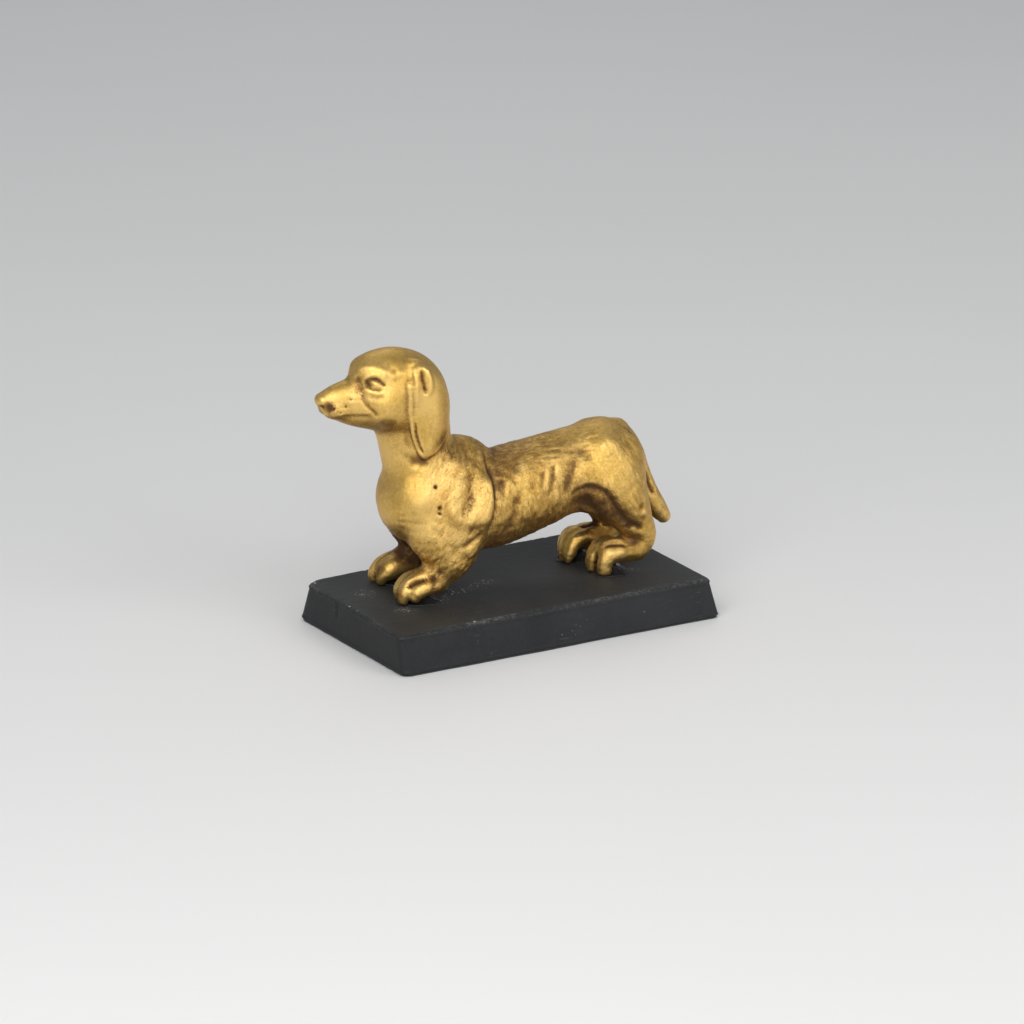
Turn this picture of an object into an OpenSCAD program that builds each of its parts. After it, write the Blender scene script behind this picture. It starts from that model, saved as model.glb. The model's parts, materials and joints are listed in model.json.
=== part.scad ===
// Dachshund figurine on a plinth: one cast figure, a drafted slab, four pins and bonds, and a foot pad.
// Millimetres. Origin at the centre of the pad's underside, +Z up, the dog's nose towards -X.

/* [Plinth] */
// Length of the plinth at its foot
plinth_length = 150; // [140:1:170]
// Width of the plinth at its foot
plinth_width = 87.6; // [80:0.2:100]
// Height of the plinth without its pad
plinth_height = 16.4; // [15:0.2:22]
// How far each side leans in from foot to top
plinth_draft = 3.2; // [2:0.1:5]
// Radius of the four upright corners
plinth_corner = 5; // [4:0.5:8]
// Radius of the edge round the top face
plinth_edge = 2; // [1:0.1:3]

/* [Foot pad] */
// Thickness of the pad under the plinth
pad_thickness = 1.2; // [0.8:0.1:3]
// How far the pad's outline stays inside the plinth's foot
pad_inset = 0.4; // [0.2:0.1:2]

/* [Placing the dog] */
// Size of the dog against its modelled size
dog_size = 1; // [0.95:0.01:1.04]
// Turn of the dog on the plinth, clockwise from above, in degrees
dog_turn = 6.2; // [0:0.1:8]
// Place of the dog's own origin along the plinth
dog_x = -8; // [-10:0.5:-4]
// Place of the dog's own origin across the plinth
dog_y = 3.4; // [0:0.2:5]

/* [Pins and bonds] */
// Diameter of each dowel pin
pin_d = 3; // [2:0.1:3.5]
// Length of a pin inside the plinth
pin_down = 11; // [8:0.5:13]
// Length of a pin inside a paw, above the bond
pin_up = 7; // [5:0.5:8]
// Radial room between a pin and its hole
pin_room = 0.1; // [0.1:0.05:0.3]
// Thickness of the bond under each paw
bond_thickness = 0.8; // [0.6:0.1:1.2]
// Radius of each end of a bond
bond_r = 7.2; // [6:0.1:8]

/* [Hidden] */

plinth_top = pad_thickness + plinth_height;
gold = "goldenrod";
black = [0.16, 0.16, 0.165];
smooth = 20;
fine = 14;
round_bore = 48;
cut = 200;

// Stations of the swept limbs, in the dog's own frame: x towards the tail, y towards its right,
// z above the plinth, the radius there, and the width of the section against its height.
torso = [
    [-28, 0, 39, 18.5, 1.02], [-16, 0, 37, 20.3, 0.98], [-2, 0, 35.4, 20.3, 0.93],
    [14, 0, 38, 19.4, 0.92], [28, 0, 41.3, 18.2, 0.93], [42, 0, 44, 17.8, 0.98],
    [50, 0, 45.5, 16.8, 1.05]
];
neck = [
    [-27, 0, 46, 17.5, 0.95], [-32.7, 0, 58, 15.2, 0.92],
    [-34.5, 0, 70, 15.9, 0.84], [-36.4, 0, 82, 16.4, 0.84]
];
muzzle = [
    [-50, 0, 83, 12.4, 0.9], [-58, 0, 83.2, 10.4, 0.83],
    [-66, 0, 84.3, 7.6, 0.82], [-70, 0, 84.8, 5.5, 0.9]
];
ear = [
    [-38.2, 11.6, 97, 3.5, 0.6], [-36.5, 13.6, 91, 6.4, 0.4], [-35, 14.4, 79, 7.9, 0.34],
    [-34, 14.2, 69, 6.6, 0.36], [-34.6, 13.4, 62, 3.2, 0.55]
];
tail = [
    [59, 0, 55, 5, 1], [64.5, 0, 47, 4.5, 1], [68.5, 0, 36, 4.3, 1],
    [73, 0, 26, 4, 1], [77, 0, 19, 3.6, 1], [79.8, 0, 15, 2.6, 1]
];
foreleg = [
    [-19.5, 0, 33, 12, 0.76], [-24, 0, 25, 13.2, 0.66], [-25.5, 0, 17.5, 9.8, 0.8],
    [-29.5, 0, 11.5, 7.2, 0.92], [-34, 0, 8, 6.4, 1]
];
forepaw = [[-32, 0, 6.6, 6, 1.05], [-39, 0, 5.6, 5.6, 1.15], [-44.6, 0, 4.4, 4.6, 1.2]];
thigh = [
    [51, 0, 38, 13, 0.75], [56, 0, 29, 10.5, 0.75], [61, 0, 20, 7.8, 0.8],
    [63.5, 0, 13.8, 6, 0.85], [61.2, 0, 9.6, 5.6, 0.9]
];
hindpaw = [
    [60, 0, 8.6, 5.4, 0.9], [53, 0, 7.2, 5.8, 0.95], [47, 0, 6.2, 5.8, 1.05], [43, 0, 4.2, 4.2, 1.2]
];

// Where each leg stands across the dog, and how far it steps forwards
front_left_y = -14;
front_right_y = 12.4;
hind_left_y = -11.5;
hind_right_y = 10;
hind_left_step = 0.8;
hind_right_step = 6;
toe_r = 2.7;
toe_gap = 3.9;

// Radial room round a pin in its paw, which is wider than in the plinth
paw_hole_room = 1.5 * pin_room;
// Where each pin goes into its paw, along the dog
front_pin_x = -35;
hind_pin_x = 53;

// A station's solid: a sphere narrowed or widened across the dog.
module blob(s) {
    translate([s[0], s[1], s[2]]) scale([1, s[4], 1]) sphere(s[3], $fn = s[3] > 9 ? smooth : fine);
}

// A limb: each station's solid joined to the next one's.
module limb(stations) {
    for (i = [0 : len(stations) - 2]) hull() {
        blob(stations[i]);
        blob(stations[i + 1]);
    }
}

// A single muscle: an ellipsoid of radii r at p, pitched about the dog's cross axis.
module muscle(p, r, pitch = 0) {
    translate(p) rotate([0, pitch, 0]) scale(r) sphere(1, $fn = smooth);
}

// Children on the dog's left and their mirror image on its right.
module both_sides() {
    children();
    mirror([0, 1, 0]) children();
}

// Three toes side by side, ahead of a paw whose front is at x.
module toes(x) {
    for (i = [-1 : 1]) translate([x + abs(i), i * toe_gap, toe_r]) sphere(toe_r, $fn = fine);
}

module foreleg_with_paw() {
    limb(foreleg);
    limb(forepaw);
    toes(-45.6);
}

module hindleg_with_paw(step) {
    limb([for (i = [0 : len(thigh) - 1]) thigh[i] - [step * i / (len(thigh) - 1), 0, 0, 0, 0]]);
    translate([-step, 0, 0]) {
        limb(hindpaw);
        toes(41.5);
    }
}

module head() {
    muscle([-42.8, 0, 87.2], [20, 14.5, 16.6]);
    limb(muzzle);
    both_sides() {
        limb(ear);
        muscle([-56.6, 9.2, 91.5], [2.6, 1.4, 1.9]);
        muscle([-55.5, 7.4, 95], [4.5, 2.2, 2], 20);
    }
}

module trunk() {
    limb(torso);
    limb(neck);
    limb(tail);
    muscle([-33, 0, 39.5], [16.2, 18.8, 18.5]);
    muscle([-12, 0, 49.5], [15, 15, 11]);
    both_sides() {
        muscle([-18, 10.5, 40], [12.5, 10.5, 19], -12);
        muscle([50, 8.5, 41], [15, 9.5, 18], 20);
    }
}

// The places of the four paws and pins, in the dog's own frame, in NODES order.
PAWS = [
    [front_pin_x, front_left_y], [front_pin_x, front_right_y],
    [hind_pin_x - hind_left_step, hind_left_y], [hind_pin_x - hind_right_step, hind_right_y]
];

// Moves children from the dog's own frame onto the plinth.
module on_plinth() {
    translate([dog_x, dog_y, plinth_top]) rotate([0, 0, -dog_turn]) scale(dog_size) children();
}

// The whole figure, cut flat where the paws meet their bonds, and drilled for the pins.
module dog_figure() {
    color(gold) on_plinth() difference() {
        union() {
            trunk();
            head();
            translate([0, front_left_y, 0]) foreleg_with_paw();
            translate([0, front_right_y, 0]) foreleg_with_paw();
            translate([0, hind_left_y, 0]) hindleg_with_paw(hind_left_step);
            translate([0, hind_right_y, 0]) hindleg_with_paw(hind_right_step);
        }
        translate([-cut / 2, -cut / 2, bond_thickness - cut]) cube(cut);
        for (p = PAWS) translate([p[0], p[1], 0])
            cylinder(d = pin_d + 2 * paw_hole_room, h = bond_thickness + pin_up + pin_room, $fn = smooth);
    }
}

// A thin rounded slab of length l, width w and height h, with upright corners of radius r.
module rounded_slab(l, w, h, r) {
    translate([-l / 2 + r, -w / 2, 0]) cube([l - 2 * r, w, h]);
    translate([-l / 2, -w / 2 + r, 0]) cube([l, w - 2 * r, h]);
    for (x = [-1, 1], y = [-1, 1])
        translate([x * (l / 2 - r), y * (w / 2 - r), 0]) cylinder(r = r, h = h, $fn = round_bore);
}

// The drafted slab, with rounded upright corners and a rounded top edge.
module plinth_body() {
    low = [plinth_length / 2 - plinth_corner, plinth_width / 2 - plinth_corner];
    high = low - [plinth_draft, plinth_draft];
    hull() for (x = [-1, 1], y = [-1, 1]) {
        translate([x * low[0], y * low[1], 0]) cylinder(r = plinth_corner, h = 1, $fn = smooth);
        translate([x * high[0], y * high[1], plinth_height - plinth_edge])
            rotate_extrude($fn = smooth) translate([plinth_corner - plinth_edge, 0])
                intersection() {
                    circle(plinth_edge, $fn = smooth);
                    square(plinth_edge);
                }
    }
}

module plinth() {
    color(black) difference() {
        translate([0, 0, pad_thickness]) plinth_body();
        for (p = PAWS) on_plinth() translate([p[0], p[1], -pin_down])
            cylinder(d = pin_d + 2 * pin_room, h = pin_down + 1, $fn = round_bore);
    }
}

module foot_pad() {
    color("dimgray") rounded_slab(
        plinth_length - 2 * pad_inset, plinth_width - 2 * pad_inset,
        pad_thickness, plinth_corner - pad_inset
    );
}

// A dowel pin with chamfered ends, standing on the bottom of its hole in the plinth.
module pin(i) {
    length = pin_down + bond_thickness + pin_up;
    chamfer = 0.4;
    color("silver") on_plinth() translate([PAWS[i][0], PAWS[i][1], -pin_down])
        rotate_extrude($fn = round_bore) polygon([
            [0, 0], [pin_d / 2 - chamfer, 0], [pin_d / 2, chamfer],
            [pin_d / 2, length - chamfer], [pin_d / 2 - chamfer, length], [0, length]
        ]);
}

// The flattened bead of adhesive that a paw stands in, with the pin through it.
module bond(i) {
    reach = i < 2 ? [-8, 3] : [-9, 5];
    color(black) on_plinth() translate([PAWS[i][0], PAWS[i][1], 0]) difference() {
        hull() for (x = reach) translate([x, 0, 0]) cylinder(r = bond_r, h = bond_thickness, $fn = 32);
        translate([0, 0, -1]) cylinder(d = pin_d + 2 * pin_room, h = bond_thickness + 2, $fn = round_bore);
    }
}

dog_figure();
plinth();
foot_pad();
pin(0);  // pin_front_left
pin(1);  // pin_front_right
pin(2);  // pin_hind_left
pin(3);  // pin_hind_right
bond(0);  // bond_front_left
bond(1);  // bond_front_right
bond(2);  // bond_hind_left
bond(3);  // bond_hind_right
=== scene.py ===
"""Gilded dog figurine on a black plinth.

The dog is modelled in its own frame, in millimetres: x runs towards its tail, y towards its right side
and z up from the top of the plinth. Everything else is worked out in the row's frame, in millimetres too,
and every mesh is written in metres.
"""

import itertools
import json
import logging
import math
from dataclasses import dataclass, field
from enum import Enum
from typing import Iterable, Sequence

import bpy
import numpy as np
import openvdb
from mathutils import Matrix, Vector

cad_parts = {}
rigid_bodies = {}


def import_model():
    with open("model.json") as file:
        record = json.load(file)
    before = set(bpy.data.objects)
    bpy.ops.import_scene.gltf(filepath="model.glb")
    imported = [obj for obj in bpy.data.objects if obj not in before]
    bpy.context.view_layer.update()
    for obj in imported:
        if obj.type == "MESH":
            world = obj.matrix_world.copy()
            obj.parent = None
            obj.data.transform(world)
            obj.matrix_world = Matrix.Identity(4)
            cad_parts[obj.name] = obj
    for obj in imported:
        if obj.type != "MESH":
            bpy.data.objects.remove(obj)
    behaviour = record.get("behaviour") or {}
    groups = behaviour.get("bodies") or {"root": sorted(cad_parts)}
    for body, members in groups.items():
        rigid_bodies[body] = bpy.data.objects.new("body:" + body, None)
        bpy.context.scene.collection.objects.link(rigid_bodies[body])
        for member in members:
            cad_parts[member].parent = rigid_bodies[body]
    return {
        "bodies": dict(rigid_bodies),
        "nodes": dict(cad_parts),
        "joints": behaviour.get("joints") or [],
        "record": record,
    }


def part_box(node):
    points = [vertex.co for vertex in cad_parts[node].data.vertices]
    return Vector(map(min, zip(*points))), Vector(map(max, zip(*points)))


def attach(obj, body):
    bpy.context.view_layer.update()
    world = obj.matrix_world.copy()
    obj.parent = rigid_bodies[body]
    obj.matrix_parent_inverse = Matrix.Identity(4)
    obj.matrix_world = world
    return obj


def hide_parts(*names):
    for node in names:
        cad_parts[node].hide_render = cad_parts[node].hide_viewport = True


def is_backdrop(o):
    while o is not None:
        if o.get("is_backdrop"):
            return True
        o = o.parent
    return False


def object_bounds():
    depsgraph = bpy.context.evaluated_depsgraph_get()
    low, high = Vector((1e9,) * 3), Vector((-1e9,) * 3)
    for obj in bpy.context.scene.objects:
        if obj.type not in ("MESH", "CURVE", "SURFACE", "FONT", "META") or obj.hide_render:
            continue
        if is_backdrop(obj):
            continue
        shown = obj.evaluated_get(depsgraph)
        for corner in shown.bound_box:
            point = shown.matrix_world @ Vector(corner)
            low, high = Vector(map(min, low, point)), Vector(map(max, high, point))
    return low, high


LOG = logging.getLogger("figurine")
Array = np.ndarray
Point = tuple[float, float, float]
Colour = tuple[float, float, float]
Socket = bpy.types.NodeSocket
Material = bpy.types.Material
Link = Socket | float | Colour

MM = 0.001
BODY = "root"
FAR = 30.0
SIDES = (-1.0, 1.0)


class Slot(Enum):
    """The record's material slots."""

    GILDING = "gilding"
    BLACK_PAINT = "black_paint"
    PAD = "pad"
    STEEL = "steel"
    ADHESIVE = "adhesive"


def shown(name: str, data: bpy.types.ID) -> bpy.types.Object:
    """Makes an object of its data and puts it in the scene."""
    made = bpy.data.objects.new(name, data)
    bpy.context.scene.collection.objects.link(made)
    return made


# ---------------------------------------------------------------- numbers on whole arrays


def soft_min(a: Array, b: Array, blend: float) -> Array:
    """The lower of two fields, with the corner between them rounded by a cubic.

    Args:
        a: The first field.
        b: The second field.
        blend: How far apart, in millimetres, the fields stop affecting each other.

    Returns:
        min(a, b) less h cubed times blend / 6, where h falls from 1 to 0 as they part.
    """
    h = np.maximum(blend - np.abs(a - b), 0.0) / blend
    return np.minimum(a, b) - h * h * h * (blend / 6.0)


def soft_max(a: Array, b: Array, blend: float) -> Array:
    """The higher of two fields, with the corner rounded as soft_min rounds it."""
    return -soft_min(-a, -b, blend)


def ease(value: Array, low: float, high: float) -> Array:
    """A smooth step: 0 at low, 1 at high, and 3t^2 - 2t^3 between."""
    t = np.clip((value - low) / (high - low), 0.0, 1.0)
    return t * t * (3.0 - 2.0 * t)


def flowing(rows: Sequence[Sequence[float]], step: float) -> Array:
    """A Catmull-Rom curve through rows of numbers, sampled about every step along its first three.

    Args:
        rows: One row for each station: x, y and z, then anything that varies along with them.
        step: Distance between samples.

    Returns:
        The samples, one row each.
    """
    given = np.asarray(rows, float)
    padded = np.vstack([2 * given[0] - given[1], given, 2 * given[-1] - given[-2]])
    parts = []
    for before, start, end, after in zip(padded, padded[1:], padded[2:], padded[3:]):
        count = max(1, math.ceil(np.linalg.norm(end[:3] - start[:3]) / step))
        t = (np.arange(count) / count)[:, None]
        slope, bend = end - before, 2 * before - 5 * start + 4 * end - after
        twist = -before + 3 * start - 3 * end + after
        parts.append(start + 0.5 * (slope * t + bend * t**2 + twist * t**3))
    return np.vstack([*parts, given[-1:]])


def value_noise(points: Array, seed: int) -> Array:
    """Smooth noise from -1 to 1: a hashed value at each corner of a unit cell, blended by a quintic.

    Args:
        points: Places, in cells, one row each.
        seed: Which noise it is.

    Returns:
        One value for each place.
    """
    cell = np.floor(points).astype(np.int64)
    part = points - cell
    part = part**3 * (part * (6 * part - 15) + 10)
    total = np.zeros(len(points))
    for corner in itertools.product((0, 1), repeat=3):
        key = (cell + corner) * np.array([73856093, 19349663, 83492791])
        mixed = key[:, 0] ^ key[:, 1] ^ key[:, 2] ^ (seed * 2654435761)
        mixed = (mixed ^ (mixed >> 13)) * 1274126177
        value = ((mixed ^ (mixed >> 16)) & 0xFFFF) / 32767.5 - 1.0
        total += value * np.prod(np.where(corner, part, 1.0 - part), axis=1)
    return total


def layered_noise(points: Array, size: float, layers: int, seed: int) -> Array:
    """Several octaves of value noise, each half as large and half as strong as the one before."""
    return sum(
        value_noise(points * (2**i / size), seed + i) / 2**i for i in range(layers)
    )


def uneven_axis(places: Sequence[float], steps: Sequence[float]) -> Array:
    """Grid lines from the first place to the last, whose spacing follows steps from place to place."""
    fine = np.arange(places[0], places[-1], 0.05)
    lines = np.cumsum(0.05 / np.interp(fine, places, steps))
    return np.interp(np.arange(0.0, lines[-1]), lines, fine)


# ---------------------------------------------------------------- clay


@dataclass(frozen=True)
class Ball:
    """A station of a limb: a ball at (x, y, z), width times as wide across the dog as it is tall."""

    x: float
    y: float
    z: float
    radius: float
    width: float = 1.0

    def row(self) -> list[float]:
        """The station as a row of numbers."""
        return [self.x, self.y, self.z, self.radius, self.width]

    def moved(self, dx: float = 0.0, dy: float = 0.0, side: float = 1.0) -> "Ball":
        """The same ball somewhere else along and across the dog, mirrored first where side is -1."""
        return Ball(self.x + dx, self.y * side + dy, self.z, self.radius, self.width)


def balls(*rows: Sequence[float]) -> tuple[Ball, ...]:
    """Stations from rows of x, y, z, radius and, where it isn't 1, width."""
    return tuple(Ball(*row) for row in rows)


class Clay:
    """A signed distance field on a box grid with uneven spacing: negative inside the clay."""

    def __init__(self, x: Array, y: Array, z: Array) -> None:
        """Starts with no clay on a grid with these lines."""
        self.axes = [x.astype(np.float32), y.astype(np.float32), z.astype(np.float32)]
        self.depth = np.full([len(a) for a in self.axes], FAR, np.float32)

    def _window(self, low: Array, high: Array) -> tuple[tuple[slice, ...], list[Array]]:
        """The part of the grid between two corners, and its lines shaped for broadcasting."""
        cut = tuple(
            slice(max(np.searchsorted(a, lo) - 1, 0), min(np.searchsorted(a, hi) + 1, len(a)))
            for a, lo, hi in zip(self.axes, low, high)
        )
        shapes = [(-1, 1, 1), (1, -1, 1), (1, 1, -1)]
        return cut, [a[c].reshape(s) for a, c, s in zip(self.axes, cut, shapes)]

    def limb(self, stations: Iterable[Ball], blend: float, wrap: float = 0.0) -> None:
        """Adds a limb: the elliptical round cones between balls along a smooth curve.

        The field of one stretch is the distance to its centre line, measured with y divided by the
        width, less the radius there. Behind the centre line, y is first bent by wrap times x squared.

        Args:
            stations: The balls that the limb runs through.
            blend: How widely it melts into the clay.
            wrap: How strongly the part behind its centre line curls towards +y, per millimetre.
        """
        rows = flowing([b.row() for b in stations], 2.0)
        margin = (blend + 2.5) / min(1.0, rows[:, 4].min())
        reach = (rows[:, 3] * np.maximum(rows[:, 4], 1.0) + margin)[:, None]
        low, high = rows[:, :3] - reach, rows[:, :3] + reach
        cut, lines = self._window(low.min(0), high.max(0))
        limb = np.full([line.size for line in lines], FAR, np.float32)
        for a, b, under, over in zip(rows, rows[1:], np.minimum(low, np.roll(low, -1, 0)),
                                     np.maximum(high, np.roll(high, -1, 0))):
            part, (x, y, z) = self._window(under, over)
            inner = tuple(slice(p.start - c.start, p.stop - c.start) for p, c in zip(part, cut))
            line = (b - a)[:3]
            along = (x - a[0]) * line[0] + (y - a[1]) * line[1] + (z - a[2]) * line[2]
            t = np.clip(along / max(line @ line, 1e-9), 0.0, 1.0)
            radius, width = a[3] + t * (b[3] - a[3]), a[4] + t * (b[4] - a[4])
            ahead, rise = x - a[0] - t * line[0], z - a[2] - t * line[2]
            side = (y - a[1] - t * line[1] - wrap * np.maximum(ahead, 0.0) ** 2) / width
            off = np.sqrt(ahead**2 + side**2 + rise**2)
            limb[inner] = np.minimum(limb[inner], (off - radius) * np.minimum(width, 1.0))
        self.depth[cut] = soft_min(self.depth[cut], limb, blend)

    def muscle(
        self, centre: Point, radii: Point, blend: float, pitch: float = 0.0, yaw: float = 0.0,
        hollow: bool = False,
    ) -> None:
        """Adds an ellipsoid, or hollows one out.

        The field is k0 (k0 - 1) / k1, with k0 the length of the place divided by the radii and k1 the
        length of it divided by their squares.

        Args:
            centre: Its centre.
            radii: Its half sizes before it is turned.
            blend: How widely it melts into the clay.
            pitch: Turn about the dog's cross axis, in degrees.
            yaw: Turn about the upright axis after that, in degrees.
            hollow: Whether clay is taken away.
        """
        reach = max(radii) + 1.5 * (blend + 2.0)
        cut, lines = self._window(np.array(centre) - reach, np.array(centre) + reach)
        x, y, z = (a - c for a, c in zip(lines, centre))
        cy, sy = math.cos(math.radians(yaw)), math.sin(math.radians(yaw))
        cp, sp = math.cos(math.radians(pitch)), math.sin(math.radians(pitch))
        ahead = x * cy + y * sy
        local = [ahead * cp - z * sp, y * cy - x * sy, ahead * sp + z * cp]
        k0 = np.sqrt(sum((p / r) ** 2 for p, r in zip(local, radii))) + 1e-6
        k1 = np.sqrt(sum((p / r**2) ** 2 for p, r in zip(local, radii))) + 1e-6
        shape = (k0 * (k0 - 1.0) / k1).astype(np.float32)
        before = self.depth[cut]
        self.depth[cut] = soft_max(before, -shape, blend) if hollow else soft_min(before, shape, blend)

    def muscles(self, centre: Point, radii: Point, blend: float, **how: float) -> None:
        """Adds a muscle on the dog's left side, then its mirror image on its right."""
        for side in SIDES:
            self.muscle((centre[0], side * centre[1], centre[2]), radii, blend, **how)

    def cut_below(self, height: float, blend: float) -> None:
        """Cuts everything below a height away flat."""
        floor = (height - self.axes[2]).reshape(1, 1, -1)
        self.depth = soft_max(self.depth, floor, blend).astype(np.float32)

    def skin(self) -> "Skin":
        """The surface where the field is zero, as quads."""
        grid = openvdb.FloatGrid(FAR)
        grid.copyFromArray(self.depth)
        found, quads = grid.convertToQuads(0.0)
        points = [np.interp(found[:, i], np.arange(len(a)), a) for i, a in enumerate(self.axes)]
        return Skin(np.stack(points, axis=1), quads.astype(np.int64))


# ---------------------------------------------------------------- skin


@dataclass
class Skin:
    """A closed surface of quads and triangles, in millimetres, with what is known at each of its points."""

    points: Array
    quads: Array
    triangles: Array = field(default_factory=lambda: np.zeros((0, 3), np.int64))
    marks: dict[str, Array] = field(default_factory=dict)

    def normals(self) -> Array:
        """Outward unit normals: each face's cross product of its diagonals, summed at its corners."""
        total = np.zeros_like(self.points)
        for faces in (self.quads, self.triangles):
            if not len(faces):
                continue
            p = self.points[faces]
            across = p[:, 3] - p[:, 1] if faces.shape[1] == 4 else p[:, 2] - p[:, 1]
            face = np.cross(p[:, 2] - p[:, 0] if faces.shape[1] == 4 else p[:, 1] - p[:, 0], across)
            for corner in faces.T:
                for axis in range(3):
                    total[:, axis] += np.bincount(corner, face[:, axis], len(self.points))
        return total / (np.linalg.norm(total, axis=1, keepdims=True) + 1e-12)

    def neighbours_mean(self, values: Array, rounds: int) -> Array:
        """Values averaged with their neighbours' along the quads' edges, several times over."""
        pairs = np.concatenate([self.quads[:, [i, (i + 1) % 4]] for i in range(4)])
        a, b = np.concatenate([pairs, pairs[:, ::-1]]).T
        count = np.bincount(a, minlength=len(self.points)) + 1.0
        mean = values.astype(float)
        for _ in range(rounds):
            columns = mean.reshape(len(self.points), -1).T
            sums = [np.bincount(a, c[b], len(self.points)) + c for c in columns]
            mean = (np.stack(sums, axis=1) / count[:, None]).reshape(values.shape)
        return mean

    def recess(self, rounds: int) -> Array:
        """How deep each point lies below its surroundings, in millimetres: positive in a hollow."""
        away = self.neighbours_mean(self.points, rounds) - self.points
        return np.einsum("ij,ij->i", away, self.normals())

    def pushed(self, height: Array) -> None:
        """Moves every point along its normal."""
        self.points = self.points + self.normals() * height[:, None]

    def outward(self) -> None:
        """Turns the faces over if the volume that they enclose comes out negative."""
        p = self.points[self.quads]
        volume = np.einsum("ij,ij->", p[:, 0], np.cross(p[:, 1], p[:, 2]) + np.cross(p[:, 2], p[:, 3]))
        if volume < 0:
            self.quads, self.triangles = self.quads[:, ::-1], self.triangles[:, ::-1]

    def piece(self, name: str, slot: Slot, material: Material, *nodes: str) -> bpy.types.Object:
        """Makes the surface a Blender object that rides on the body and stands for CAD nodes.

        Args:
            name: The piece's name.
            slot: The record's slot for its finish. It is not used.
            material: What it is dressed in.
            nodes: The CAD nodes that it stands for.

        Returns:
            The object.
        """
        mesh = bpy.data.meshes.new(name)
        faces = [*self.quads.tolist(), *self.triangles.tolist()]
        mesh.from_pydata((self.points * MM).tolist(), [], faces)
        mesh.polygons.foreach_set("use_smooth", np.ones(len(faces), bool))
        for mark, values in self.marks.items():
            kept = mesh.attributes.new(mark, "FLOAT", "POINT")
            kept.data.foreach_set("value", values.astype(np.float32))
        mesh.materials.append(material)
        mesh.update()
        made = shown(name, mesh)
        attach(made, BODY)
        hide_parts(*nodes)
        LOG.info("%s: %d points, %d faces", name, len(self.points), len(faces))
        return made


@dataclass(frozen=True)
class Stroke:
    """A mark of the modelling tool along a curve on the skin, in the dog's frame.

    Attributes:
        path: Points on the dog's left side that the curve runs through.
        width: Half width of the ridge or groove, where it has fallen to a third.
        height: Its height. A groove's is negative.
        stain_and_shade: How much patina has pooled along it, from 0 to 1; it feeds the mark that also holds
            painted shade.
        right: How much the skin on the curve's right-hand side is raised, seen from the dog's left.
        left: The same on its left-hand side.
        reach: How far that raised skin runs before it has fallen to a third.
        ends: Share of the length over which the mark fades in, and out.
        both: Whether the dog's right side has its mirror image.
    """

    path: tuple[Point, ...]
    width: float
    height: float
    stain_and_shade: float = 0.0
    right: float = 0.0
    left: float = 0.0
    reach: float = 4.0
    ends: float = 0.25
    both: bool = True

    def marks(self, points: Array) -> tuple[Array, Array]:
        """Works out the mark at each point.

        The curve is first laid on the skin: each of its points goes to the nearest point of the skin, and
        the line is then smoothed. The ridge is height times exp(-(d / width)^2), with d the distance to the
        curve. The raised skin beside it is its amount times exp(-d / reach), eased in over the width. The
        stain is half as wide again as the ridge.

        Args:
            points: The skin's points.

        Returns:
            The height to push each point, and how stained it is.
        """
        lifted, stain_and_shade_amount = np.zeros(len(points)), np.zeros(len(points))
        for side in SIDES[::-1] if self.both else SIDES[1:]:
            curve = flowing(np.array(self.path) * (1.0, side, 1.0), 0.8)
            margin = 2.5 * max(1.5 * self.width, self.reach if self.right or self.left else 0.0)
            near = np.all((points > curve.min(0) - margin) & (points < curve.max(0) + margin), axis=1)
            chosen = np.nonzero(near)[0]
            gap = np.linalg.norm(points[chosen, None] - curve[None], axis=2)
            curve = points[chosen][gap.argmin(0)]
            for _ in range(3):
                curve[1:-1] = (curve[:-2] + 2 * curve[1:-1] + curve[2:]) / 4
            gap = np.linalg.norm(points[chosen, None] - curve[None], axis=2)
            nearest = gap.argmin(1)
            distance = gap[np.arange(len(chosen)), nearest]
            t = nearest / (len(curve) - 1)
            fade = ease(t, -0.02, self.ends) * ease(1.0 - t, -0.02, self.ends)
            mark = fade * self.height * np.exp(-((distance / self.width) ** 2))
            along = np.gradient(curve, axis=0)[nearest]
            off = points[chosen] - curve[nearest]
            turn = np.sign(off[:, 0] * along[:, 2] - off[:, 2] * along[:, 0])
            beside = np.where(turn > 0, self.right, self.left) * fade
            raised = beside * np.exp(-distance / self.reach) * ease(distance, 0.0, self.width)
            lifted[chosen] += mark + raised
            stain_and_shade_amount[chosen] += fade * self.stain_and_shade * np.exp(-((distance / (1.5 * self.width)) ** 2))
        return lifted, stain_and_shade_amount


@dataclass(frozen=True)
class Press:
    """A round dent, bump or dark spot: its height and its darkening times exp(-(d / radius)^2).

    The darkening is stain on most spots, and painted shade on those under the body and between the legs.
    A small one is first moved to the nearest point of the skin.
    """

    centre: Point
    radius: float
    height: float = 0.0
    stain_and_shade: float = 0.0
    both: bool = True

    def marks(self, points: Array) -> tuple[Array, Array]:
        """The height to push each point, and its stain and painted shade."""
        share = np.zeros(len(points))
        for side in SIDES[::-1] if self.both else SIDES[1:]:
            gap = ((points - np.array(self.centre) * (1.0, side, 1.0)) ** 2).sum(1)
            if self.radius < 4.0:
                gap = ((points - points[gap.argmin()]) ** 2).sum(1)
            share += np.exp(-gap / self.radius**2)
        return self.height * share, self.stain_and_shade * share


class Lie(Enum):
    """The ways that the tooled hair lies, as (along x, along z) seen from the dog's left."""

    DOWN = (0.0, -1.0)
    BACK = (1.0, 0.12)
    FORWARD_DOWN = (-0.55, -0.84)
    BACK_DOWN = (0.4, -0.92)


@dataclass(frozen=True)
class Coat:
    """A stretch of the dog's coat, with its middle on the dog's left side.

    Attributes:
        centre: Its middle.
        size: How far it reaches.
        lie: How its hairs lie.
        depth: How strongly they stand out.
    """

    centre: Point
    size: float
    lie: Lie
    depth: float


# ---------------------------------------------------------------- the dog


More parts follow.
